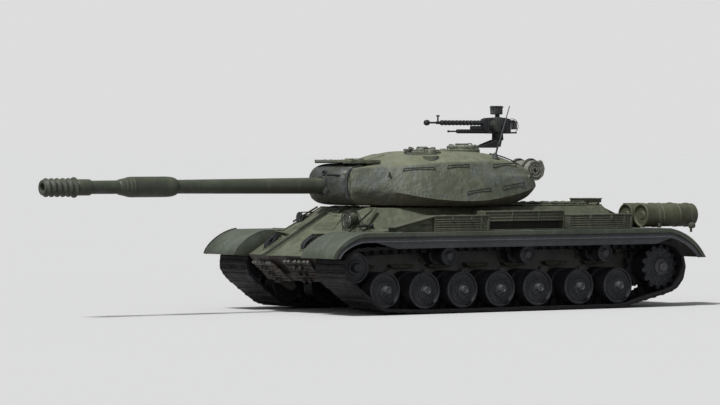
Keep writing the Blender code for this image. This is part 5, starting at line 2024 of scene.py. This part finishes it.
def turret_pieces():
    pieces = [shell]
    pieces += hatch_collar(*CUPOLA, 16.5, 12.6, 141.3)
    pieces += hatch_collar(*GUN_RING, 15.6, 11.1, 143.1)
    lip = turned([(142.0, 12.0), (145.9, 12.0)], "Z", (*GUN_RING, 0), 56)
    pieces.append(cut(lip, turned([(130, 11.1), (160, 11.1)], "Z", (*GUN_RING, 0), 56)))
    pieces += brow() + rails() + dome_sight(-49.5, 45.5) + rear_edge_rail()
    for side in (1, -1):
        pieces += lifting_eye(-6.0, 119.6, side) + lifting_eye(-158, 118.0, side)
    # A black ring and a dark plate under the casting are painted shade, which fill the gap over the
    # deck.
    pieces.append(turned([(88.5, 48.9), (93.6, 48.9)], "Z", (-76.0, 0, 0), 72,
        material=shadow_black))
    floor_line = [(9.0, 0), (7.5, 16), (2.0, 27), (-30, 44), (-30, -44), (2.0, -27), (7.5, -16)]
    pieces.append(plate(floor_line, "Z", 93.3, 94.6, 0.3, underside_shade_paint))
    vent = [(138.0, 7.6), (142.0, 7.2), (142.6, 6.6), (142.8, 3.0), (143.6, 2.4), (143.7, 1.0)]
    pieces.append(turned(vent, "Z", (-92.0, 6.0, 0), 36))
    front_plate = [(-16, -32), (-16, -6), (-34, -4), (-40, -12), (-40, -30), (-34, -36)]
    lid = plate(front_plate, "Z", -0.2, 0.9, 0.3)
    for vertex in lid.data.vertices:
        top, _ = skin_top(vertex.co.x / MM, vertex.co.y / MM)
        vertex.co.z += top.z * MM
    pieces.append(lid)
    sight = [(139.0, 2.6), (142.2, 2.4), (142.6, 2.0), (143.0, 1.6), (144.8, 1.6), (145.2, 1.2)]
    pieces += [
        turned(sight, "Z", (-59.5, 1.0, 0), 20, material=gun_steel),
        bar((-55, -65), (-3.4, 5.4), (138.0, 141.4), 0.4),
    ]
    return pieces


fitted("turret_shell.cast", turret_pieces(), "turret", ["turret_shell"],
    cast_paint)

# %% [markdown]
# ## Mantlet and gun
#
# The mantlet is a cast block that rolls with the gun. Its sections across the tank are rounded
# boxes that bulge towards the middle, so again rings of points are placed by a formula. The gun
# itself is one long turned piece, with the fume extractor's swelling near its end and a muzzle
# brake of sharp rings.


# %% The mantlet's block
MANTLET_HALF, MANTLET_FRONT = 28.0, 26.6
mantlet_paint = weathered_paint("mantlet_paint", (0.036, 0.040, 0.032), (0.072, 0.078, 0.062),
    (0.120, 0.126, 0.100), grain=0.6, grain_scale=380.0, top_dust_and_light=0.4, shine=0.32,
    sky_reflection=(0.105, 0.118, 0.135), dent=0.9)
# Near black in the seams round the mantlet: painted shade in the gaps beside and round it.
seam_shade_paint = weathered_paint("seam_shade_paint", (0.018, 0.019, 0.021), (0.030, 0.032, 0.034),
    (0.06, 0.064, 0.06), top_dust_and_light=0.2)


def mantlet_ring(y):
    """A section of the mantlet: a round back that wraps the turret's nose, and a bulging front."""
    across = abs(y) / MANTLET_HALF
    depth = 17.4 + (MANTLET_FRONT - 17.4) * math.sqrt(max(0.0, 1 - across**2.4))
    shrink = 1 - 0.08 * across**4
    ring = []
    for step in range(25):
        angle = math.radians(90 - 158 * step / 24)
        height = (19.8 if angle > 0 else 17.5) * shrink
        share = abs(math.cos(angle) / depth) ** 2.6 + abs(math.sin(angle) / height) ** 2.6
        reach = max(share ** (-1 / 2.6), 17.3)
        ring.append((reach * math.cos(angle), reach * math.sin(angle)))
    for step in range(15):
        angle = math.radians(-68 + 158 * step / 14)
        ring.append((16.5 * math.cos(angle), 16.5 * math.sin(angle)))
    return [(TRUNNION.x + x, y, TRUNNION.z + z) for x, z in ring]


def mantlet_block():
    places = [-28, -27.4, -26.4, -24.8, -22.5, -19.5, -16, -12, -8, -4, 0]
    places += [-y for y in places[-2::-1]]
    block = skinned([mantlet_ring(y) for y in places], bevel=0.7, segments=3, limit=50.0)
    return painted(block, mantlet_paint)


def ring_eye(x, y, z, radius, thick, material, normal=(1, 0, 0)):
    """A round eye that faces a direction."""
    eye = wire([(radius * math.cos(a), radius * math.sin(a),
        0) for a in [2 * math.pi * n / 20 for n in range(20)]], thick, material, closed=True)
    return placed(eye, (x, y, z), (0, 0, 1), normal)


def mantlet_pieces():
    block = mantlet_block()
    cut(block, turned([(-20, 7.36), (60, 7.36)], "X", TRUNNION, 44))
    tidy_mesh(block, smooth=38.0)
    pieces = [block]
    collar = [(20.0, 9.2), (25.2, 9.0), (26.2, 8.4), (26.4, 7.8), (26.0, 7.45)]
    pieces.append(turned(collar, "X", TRUNNION, 44, material=seam_shade_paint))
    cut(pieces[-1], turned([(10, 7.36), (60, 7.36)], "X", TRUNNION, 44))
    pieces.append(turned([(-6, 10.0), (18, 10.0)], "X", TRUNNION, 32, material=cast_paint))
    cut(pieces[-1], turned([(-20, 7.36), (60, 7.36)], "X", TRUNNION, 44))
    pieces.append(rod(TRUNNION - Vector((0, 14.6, 0)), TRUNNION + Vector((0, 14.6, 0)), 3.0, 20,
        gun_steel))
    cut(pieces[-1], turned([(-20, 7.36), (60, 7.36)], "X", TRUNNION, 44))
    for side in (1, -1):
        low, high = sorted((27.0 * side, 28.35 * side))
        flange = [(6, 126), (24.0, 126), (27.4, 123.5), (29.2, 118), (29.6, 111), (29.2, 104),
            (27.6, 99.5), (24.0, 97), (6, 97)]
        pieces.append(plate(flange, "Y", low, high, 0.3, seam_shade_paint))
        for inset in (0.5, 4.3):
            edge = [(x - inset, 28.3 * side, z) for x, z in flange[2:7]]
            pieces.append(wire(edge, 0.38, mantlet_paint))
        pieces.append(bolt_heads([(x - 2.5, 28.3 * side, z) for x, z in flange[2:7]],
            "Y" if side > 0 else "-Y", 0.55, 0.25, mantlet_paint))
        if side < 0:
            continue
        bracket = [(35.4, 8.0 * side, 120.6), (36.6, 9.4 * side, 120.9), (34.6, 22.4 * side, 120.8),
            (32.6, 24.2 * side, 120.4)]
        pieces.append(wire(rounded_path(bracket, 1.0), 0.55, gun_steel))
    pieces += [
        ring_eye(36.3, 4.6, 122.2, 1.9, 0.9, gun_steel, (0.95, 0.2, 0.2)),
        turned([(0, 2.8), (1.6, 2.2), (2.0, 1.2)], "X", (34.4, 4.6, 121.8), 20, material=gun_steel),
    ]
    for radius, material in ((2.6, gun_steel), (1.3, mantlet_paint)):
        pieces.append(ring_eye(38.6, 9.8, 106.8, radius, 0.5, material, (0.9, 0.42, -0.1)))
    pieces.append(beam((36.4, 8.6, 118.8), (38.0, 9.8, 109.6), 1.8, 0.9, (1, 0, 0), seam_shade_paint))
    return pieces


fitted("mantlet.cast", mantlet_pieces(), "mantlet", ["mantlet"])


# %% [markdown]
# ## The gun
#
# The gun is one long profile turned about the bore, and ends in a ribbed muzzle.

# %% The gun
def gun():
    profile = [(-12, 7.0), (58, 7.0), (60, 6.95), (140, 6.35), (186.6, 5.95), (187.4, 6.3),
        (188.6, 7.2), (190.0, 7.8), (192.0, 8.3), (195.0, 8.7), (198.5, 8.85), (233.0, 8.85),
        (233.5, 8.3), (234.1, 8.3), (234.6, 8.7), (236.4, 8.4), (236.8, 7.8), (237.4, 7.8),
        (238.0, 7.9), (240.2, 7.5), (240.6, 7.0), (241.2, 7.0), (241.8, 7.2), (244.6, 6.6),
        (245.4, 6.2), (246.0, 5.8), (272.6, 5.7), (273.2, 6.2), (273.9, 6.8), (275.0, 6.95),
        (284.6, 6.95), (285.4, 6.7), (286.3, 6.5)]
    ribs, start, muzzle = 6, 286.3, 320.0
    pitch = (muzzle - start - 1.0) / ribs
    for rib in range(ribs):
        x = start + rib * pitch
        crest = 8.75 if rib == 0 else 8.0
        profile += [(x + 0.5, 6.1), (x + 2.4, crest), (x + 3.1, crest), (x + pitch - 0.4, 6.1)]
    profile += [(muzzle - 0.6, 6.6), (muzzle - 0.1, 6.2), (muzzle, 5.6), (muzzle - 0.1, 4.1),
        (muzzle - 0.9, 3.8)]
    tube = turned(profile, "X", (0, 0, TRUNNION.z), 64, material=tube_paint)
    pick(tube)
    bpy.ops.object.mode_set(mode="EDIT")
    bpy.ops.mesh.select_mode(type="FACE")
    bpy.ops.mesh.select_all(action="DESELECT")
    done_editing()
    end = max(tube.data.polygons, key=lambda face: (len(face.vertices), face.center.x))
    end.select = True
    bpy.ops.object.mode_set(mode="EDIT")
    bpy.ops.mesh.extrude_region_move(TRANSFORM_OT_translate={"value": (-28 * MM, 0, 0)})
    done_editing()
    tube.data.materials.append(shadow_black)
    bottom = min((f for f in tube.data.polygons if len(f.vertices) > 8 and f.center.x > 0.2),
        key=lambda face: face.center.x)
    bottom.material_index = 1
    return [tidy_mesh(tube, smooth=24.0)]


fitted("gun_barrel.turned", gun(), "gun", ["gun_barrel"])
# %% [markdown]
# ## Hatches and the gun ring
#
# The commander's hatch is a shallow lid, hinged at the front, with a small turning sight. The
# loader's hatch is a flat lid inside the toothed ring that carries the roof gun. The ring's arm
# reaches back and up to a fork, and a pin through the fork holds the gun.


# %% Commander's hatch
def commander_lid():
    x, y = CUPOLA
    profile = [(140.9, 12.0), (141.6, 12.0), (141.65, 14.9), (142.7, 14.9), (142.7, 14.4),
        (142.7, 12.6), (142.9, 12.0), (143.0, 6.2), (143.7, 5.4), (144.2, 5.2), (145.2, 4.6),
        (145.5, 3.8), (145.4, 1.4)]
    pieces = [
        turned(profile, "Z", (x, y, 0), 60),
        bar((x + 12.6, x + 17.3), about(y, 5), (141.75, 143.0), 0.3),
        rod((x + 16.3, y - 5.2, 142.5), (x + 16.3, y + 5.2, 142.5), 0.9, 14, gun_steel),
    ]
    for angle in (70, 130, 190, 250, 310):
        a = math.radians(angle)
        cx, cy = x + 10.0 * math.cos(a), y + 10.0 * math.sin(a)
        block = bar((-1.6, 1.6), (-2.4, 2.4), (-0.2, 1.3), 0.25)
        pieces.append(placed(block, (cx, cy, 143.2), (math.cos(a), math.sin(a), 0)))
        glass = bar((1.45, 1.75), (-1.9, 1.9), (0.1, 1.0), 0, sight_glass)
        pieces.append(placed(glass, (cx, cy, 143.2), (math.cos(a), math.sin(a), 0)))
    pieces += [
        bar((x + 2.4, x + 4.9), about(y, 2.2), (144.0, 145.2), 0.2, sight_glass),
        wire(rounded_path([(x - 11.4, y - 3, 143.0), (x - 11.8, y - 3, 144.6),
            (x - 11.8, y + 3, 144.6), (x - 11.4, y + 3, 143.0)], 0.8), 0.4, gun_steel),
    ]
    return pieces


fitted("commander_hatch.lid", commander_lid(), "commander_hatch",
    ["commander_hatch"], cast_paint)


# %% [markdown]
# ## Loader's hatch
#
# The loader's lid is a round disc in the middle of the gun ring. It swings aside on its pivot.

# %% Loader's hatch
def loader_lid():
    x, y = GUN_RING
    profile = [(146.35, 12.0), (146.5, 12.5), (147.0, 12.5), (147.2, 12.0), (147.2, 9.8),
        (147.0, 9.4), (147.0, 1.0)]
    pieces = [
        turned(profile, "Z", (x, y, 0), 52),
        bar((x + 10, x + 14.6), about(y, 2), (146.35, 147.2), 0.2),
        turned([(146.9, 1.6), (147.5, 1.5), (147.7, 1.0)], "Z", (x + 13.3, y, 0), 16,
            material=gun_steel),
        bar((x - 3, x + 5), about(y, 5), (146.9, 148.3), 0.35),
        bar((x + 4.8, x + 5.3), about(y, 4), (147.2, 148.0), 0.1, sight_glass),
        wire(rounded_path([(x - 8, y - 3, 147.0), (x - 8, y - 3, 148.2), (x - 8, y + 3, 148.2),
            (x - 8, y + 3, 147.0)], 0.7), 0.4, gun_steel),
    ]
    return pieces


fitted("loader_hatch.lid", loader_lid(), "loader_hatch", ["loader_hatch"],
    cast_paint)


# %% [markdown]
# ## The toothed ring and its arm
#
# A toothed ring turns round the loader's hatch. A braced arm on it reaches up to the gun's fork.

# %% The toothed ring and its arm
RING_TEETH = 60


def gun_ring():
    x, y = GUN_RING
    outline = []
    for tooth in range(RING_TEETH):
        for share, reach in ((0.0, 14.3), (0.35, 14.3), (0.5, 14.75), (0.85, 14.75)):
            angle = 2 * math.pi * (tooth + share) / RING_TEETH
            outline.append((x + reach * math.cos(angle), y + reach * math.sin(angle)))
    teeth = plate(outline, "Z", 143.5, 144.7, 0, cast_paint)
    upper = turned([(144.6, 13.6), (144.6, 14.6), (145.8, 14.6), (146.0, 14.3), (146.0, 13.0)], "Z",
        (x, y, 0), 64, material=cast_paint)
    pieces = []
    for piece in (teeth, upper):
        pieces.append(cut(piece, turned([(130, 12.3), (160, 12.3)], "Z", (x, y, 0), 56)))
    pieces.append(bolt_heads(circle_of(12, 13.4, "Z", (x, y, 145.95), 0.26), "Z", 0.45, 0.28,
        cast_paint))
    return pieces


def gun_arm():
    """A braced arm from the ring to the fork. Two webs stand on its sloping back."""
    y = GUN_RING[1]
    arm = [(-147.0, 144.3), (-173.4, 144.5), (-176.4, 146.0), (-177.6, 148.4), (-178.2, 153.6),
        (-171.6, 153.6), (-171.2, 151.4), (-168.6, 150.0), (-159.8, 147.2), (-147.0, 145.9)]
    pieces = [
        plate(arm, "Y", y - 2.6, y + 2.6, 0.4),
        bar((-172.4, -147.2), about(y, 4.8), (144.3, 145.5), 0.3),
    ]
    for side in (-1, 1):
        cheek = [(-178.2, 151.6), (-171.6, 151.6), (-171.8, 160.6), (-173.2, 162.6),
            (-175.9, 162.6), (-177.4, 160.6)]
        low, high = sorted((y + side * 3.35, y + side * 4.8))
        pieces.append(plate(cheek, "Y", low, high, 0.35))
        web = [(-175.0, 145.2), (-152.0, 145.2), (-158.0, 147.6), (-170.2, 151.6), (-176.6, 151.8)]
        low, high = sorted((y + side * 3.9, y + side * 4.7))
        pieces += [
            plate(web, "Y", low, high, 0.2),
            turned([(0, 1.9), (0.6, 1.8), (0.9, 1.2)], "Y", (-174.6,
                y + side * 4.7 - (0 if side > 0 else 0.9), 160.0), 16),
        ]
    pieces.append(bar((-178.0, -171.8), about(y, 4.8), (151.2, 153.4), 0.3))
    return pieces


fitted("aa_ring.toothed", gun_ring() + gun_arm(), "aa_mount", ["aa_ring"],
    gun_steel)

# %% [markdown]
# ## The roof gun
#
# A heavy machine gun on the ring: barrel with a round flash hider and a ringed jacket, a buffer
# tube below, a flat receiver with a cover, a round ammunition box on its left, spade grips behind
# and a box sight on top. Everything is dark steel, with bright edges.


# %% Gun, box and sight
def roof_gun():
    y, axis = GUN_RING[1], 167.1
    tip = [(-110.5, 0.85), (-97.6, 0.85), (-97.2, 1.4), (-96.6, 2.1), (-95.2, 2.55), (-93.6, 2.6),
        (-92.5, 2.2), (-91.9, 1.5), (-92.1, 0.9), (-93.6, 0.7)]
    pieces = [turned(tip, "X", (0, y, axis), 24, smooth=50)]
    jacket = [(-165.0, 2.3), (-157.0, 2.3)]
    for number in range(11):
        x = -156.0 + number * 4.1
        jacket += [(x, 2.05), (x + 2.4, 2.05), (x + 2.6, 2.4), (x + 3.8, 2.4)]
    jacket += [(-110.8, 2.4), (-110.2, 2.0), (-109.9, 1.0)]
    pieces += [
        turned(jacket, "X", (0, y, axis), 26),
        bar((-107.6, -106.3), about(y, 0.5), (axis + 0.6, 173.2), 0.15),
        bar((-108.3, -105.7), about(y, 1.2), (172.6, 174.0), 0.3),
        turned([(-1.6, 1.4), (1.6, 1.4)], "X", (-107.0, y, axis), 18),
    ]
    buffer = [(-172.0, 1.9), (-128.8, 1.9), (-128.2, 1.5), (-127.6, 0.7), (-119.6, 0.7),
        (-119.2, 1.0), (-118.2, 1.0), (-118.0, 0.6)]
    pieces += [
        turned(buffer, "X", (0, y, 159.3), 20),
        bar((-163.5, -144.4), about(y, 1.8), (160.8, 164.4), 0.3),
    ]
    body = [(-188.2, 157.3), (-161.5, 157.3), (-158.0, 160.6), (-157.0, 164.2), (-157.0, 170.2),
        (-160.5, 171.6), (-171.0, 172.2), (-182.0, 171.9), (-188.2, 170.6)]
    pieces.append(plate(body, "Y", y - 2.9, y + 2.9, 0.5))
    for x in (-184.0, -179.0, -163.0):
        pieces.append(bar(about(x, 0.5), about(y, 3.2), (157.6, 170.8), 0.15))
    pieces += [
        rod((-170, y - 5.2, 168.4), (-170, y - 2.6, 168.4), 1.0, 14),
        turned([(-6.2, 1.5), (-5.2, 1.6), (-4.9, 1.0)], "Y", (-170, y, 168.4), 14),
    ]
    drum = []
    for step in range(15):
        angle = math.radians(60 + 200 * step / 14)
        drum.append((-170.8 - 7.9 * math.cos(angle) * 0.95, 165.4 + 7.0 * math.sin(angle)))
    drum += [(-166.0, 159.8), (-163.6, 164.0), (-164.0, 171.6), (-168.6, 172.3)]
    box = sorted(drum, key=lambda p: math.atan2(p[1] - 165.6, p[0] + 171.0))
    pieces += [
        plate(box, "Y", y + 3.0, y + 9.6, 0.7, gun_paint, smooth=50),
        plate([((px + 171) * 0.78 - 171, (pz - 165.6) * 0.78 + 165.6) for px, pz in box], "Y",
            y + 9.3, y + 10.1, 0.3, gun_paint, smooth=50),
        rod((-171, y + 2.4, 160.0), (-177.6, y + 2.4, 156.4), 0.9, 12),
    ]
    return pieces


def sight_and_grips():
    y = GUN_RING[1]
    pieces = [
        bar((-178.2, -168.8), about(y, 3.8), (174.8, 182.8), 0.9, gun_paint, 3),
        bar((-169.0, -168.3), about(y, 2.9), (175.8, 181.8), 0.15, sight_glass),
        bar((-178.6, -168.6), about(y, 4.0), (180.9, 182.4), 0.3),
        bar((-176.6, -172.4), about(y, 1.0), (171.0, 175.4), 0.3),
        rod((-172.8, y, 172.0), (-176.4, y - 3.6, 177.0), 0.6, 10),
    ]
    for side in (-1, 1):
        grip = [(-187.8, y + 2.1 * side, 168.6), (-192.0, y + 2.3 * side, 169.2),
            (-193.6, y + 2.4 * side, 167.4), (-193.9, y + 2.4 * side, 161.4)]
        pieces += [
            wire(rounded_path(grip, 1.2), 0.85, gun_steel, 10),
            rod((-193.6, y + 2.0 * side, 168.6), (-193.9, y + 2.0 * side, 161.2), 1.6, 12,
                gun_paint),
        ]
    pieces.append(bar((-194.6, -187.6), about(y, 3.4), (157.4, 158.9), 0.3))
    hoop = [(-190.6, y, 171.2), (-195.4, y, 170.4), (-198.2, y, 167.0), (-198.8, y, 163.0),
        (-196.6, y, 159.4), (-193.4, y, 157.9)]
    pieces.append(wire(rounded_path(hoop, 2.0), 0.3, hub_steel))
    return pieces


gun_paint = dirty_steel("gun_paint", (0.046, 0.050, 0.044), (0.075, 0.078, 0.066), 0.5,
    polish=(0.15, 0.155, 0.15), metal=0.2)
fitted("machine_gun.heavy", roof_gun() + sight_and_grips(), "machine_gun",
    ["machine_gun"], gun_steel)


# %% [markdown]
# ## Aerial and tarpaulin
#
# The aerial is a thin rod on a conical foot. The tarpaulin is a rolled canvas sheet, tied behind
# the turret: its end shows the spiral of its turns, and it bulges between its straps. A spiral
# outline with wavering turns, pulled along the roll and pinched at the straps, gives both.


# %% Aerial
def aerial():
    foot, tip = Vector((-122.4, 44.0, 139.5)), Vector((-138.5, 44.0, 181.9))
    seat, _ = skin_top(foot.x, foot.y)
    base = [(seat.z - 1.2, 3.9), (seat.z + 0.4, 3.7), (seat.z + 0.9, 3.0), (seat.z + 2.6, 2.2),
        (seat.z + 4.8, 1.4), (seat.z + 5.4, 0.9)]
    pieces = [
        turned(base, "Z", (foot.x, foot.y, 0), 24, material=gun_paint),
        rod((foot.x - 0.8, foot.y, seat.z + 4.4), tip, 0.65, 10, hub_steel, end_radius=0.42),
        rod((foot.x - 0.8, foot.y, seat.z + 4.4), foot.lerp(tip, 0.22), 0.85, 10, gun_steel,
            end_radius=0.6),
    ]
    return pieces


fitted("aerial.rod", aerial(), "turret", ["aerial"])


# %% [markdown]
# ## The rolled tarpaulin
#
# A strip of canvas is wound on itself, a little unevenly, so that its turns show at the ends.
# Buckled straps tie it to the turret.

# %% The rolled tarpaulin
ROLL_CENTRE = (-183.8, 124.4)
ROLL_RADIUS, ROLL_TURNS = 11.0, 3.2
ROLL_LOW, ROLL_HIGH = -8.0, 24.0
STRAPS = (-2.0, 16.0)


def spiral(thickness=1.7):
    """The end view of the roll: a strip wound on itself, a little uneven."""
    outer, inner = [], []
    steps = int(ROLL_TURNS * 30)
    for step in range(steps + 1):
        turn = step / 30
        angle = 2 * math.pi * turn
        radius = ROLL_RADIUS - (ROLL_RADIUS - 2.4) * turn / ROLL_TURNS
        radius += 0.22 * math.sin(3 * angle + 0.7) * (1 - turn / ROLL_TURNS)
        for store, reach in ((outer, radius), (inner, radius - thickness)):
            store.append((ROLL_CENTRE[0] + reach * math.cos(angle + 2.2),
                ROLL_CENTRE[1] + reach * math.sin(angle + 2.2)))
    return outer + inner[::-1]


def tarpaulin():
    outline = spiral()
    places = [ROLL_LOW + (ROLL_HIGH - ROLL_LOW) * k / 36 for k in range(37)]
    bpy.ops.mesh.primitive_circle_add(vertices=len(outline), radius=1.0, fill_type="NGON")
    obj = bpy.context.object
    for vertex, (x, z) in zip(obj.data.vertices, outline):
        vertex.co = Vector((x, places[0], z)) * MM
    editing()
    for first, second in zip(places, places[1:]):
        bpy.ops.mesh.extrude_region_move(TRANSFORM_OT_translate={"value": (0, (second - first) * MM,
            0)})
    done_editing()
    for vertex in obj.data.vertices:
        x, y, z = vertex.co / MM
        dx, dz = x - ROLL_CENTRE[0], z - ROLL_CENTRE[1]
        angle, reach = math.atan2(dz, dx), math.hypot(dx, dz)
        outerness = min(1.0, reach / ROLL_RADIUS) ** 2
        pinch = sum(math.exp(-(((y - strap) / 2.0) ** 2)) for strap in STRAPS)
        fold = 0.25 * math.sin(5 * angle + y * 0.35) + 0.20 * math.sin(9 * angle - y * 0.8)
        fold += 0.16 * math.sin(y * 1.3 + 2 * angle)
        new_reach = reach + outerness * (fold - 0.85 * pinch - 0.3)
        end = 1.6 * math.sin(angle * 2 + reach * 0.6) * max(0.0, 1 - (ROLL_HIGH - y) / 5)
        vertex.co = Vector((ROLL_CENTRE[0] + new_reach * math.cos(angle), y - abs(end) * 0.5,
            ROLL_CENTRE[1] + new_reach * math.sin(angle))) * MM
    tidy_mesh(obj, smooth=50.0)
    return painted(obj, roll_canvas)


def strap_round(y):
    """A buckled strap round the roll, and down to the turret's skin."""
    pieces = []
    loop = []
    for step in range(36):
        angle = 2 * math.pi * step / 36
        reach = ROLL_RADIUS - 0.75
        loop.append((ROLL_CENTRE[0] + reach * math.cos(angle),
            ROLL_CENTRE[1] + reach * math.sin(angle)))
    band = plate(loop, "Y", y - 1.3, y + 1.3, 0.2, roll_strap, smooth=50)
    pieces += [
        band,
        bar((ROLL_CENTRE[0] - 1.7, ROLL_CENTRE[0] + 1.7), about(y, 1.8),
            (ROLL_CENTRE[1] + ROLL_RADIUS - 1.5, ROLL_CENTRE[1] + ROLL_RADIUS - 0.7), 0.25,
            tool_steel),
        beam((-176.6, y, 129.6), (-168.2, y, 124.6), 2.6, 0.6, (0.4, 0, 1), roll_strap),
    ]
    return pieces


roll_strap = canvas_cloth("roll_strap", (0.050, 0.052, 0.036), (0.085, 0.086, 0.060))
roll = tarpaulin()
straps = [piece for y in STRAPS for piece in strap_round(y)]
fitted("tarpaulin_roll.canvas", [roll], "turret", ["tarpaulin_roll"])
fitted("tarpaulin_straps", straps, "turret")

# %% [markdown]
#
# The finished model has to stay inside the frame's box.

# %% Finish
print("the model is finished")
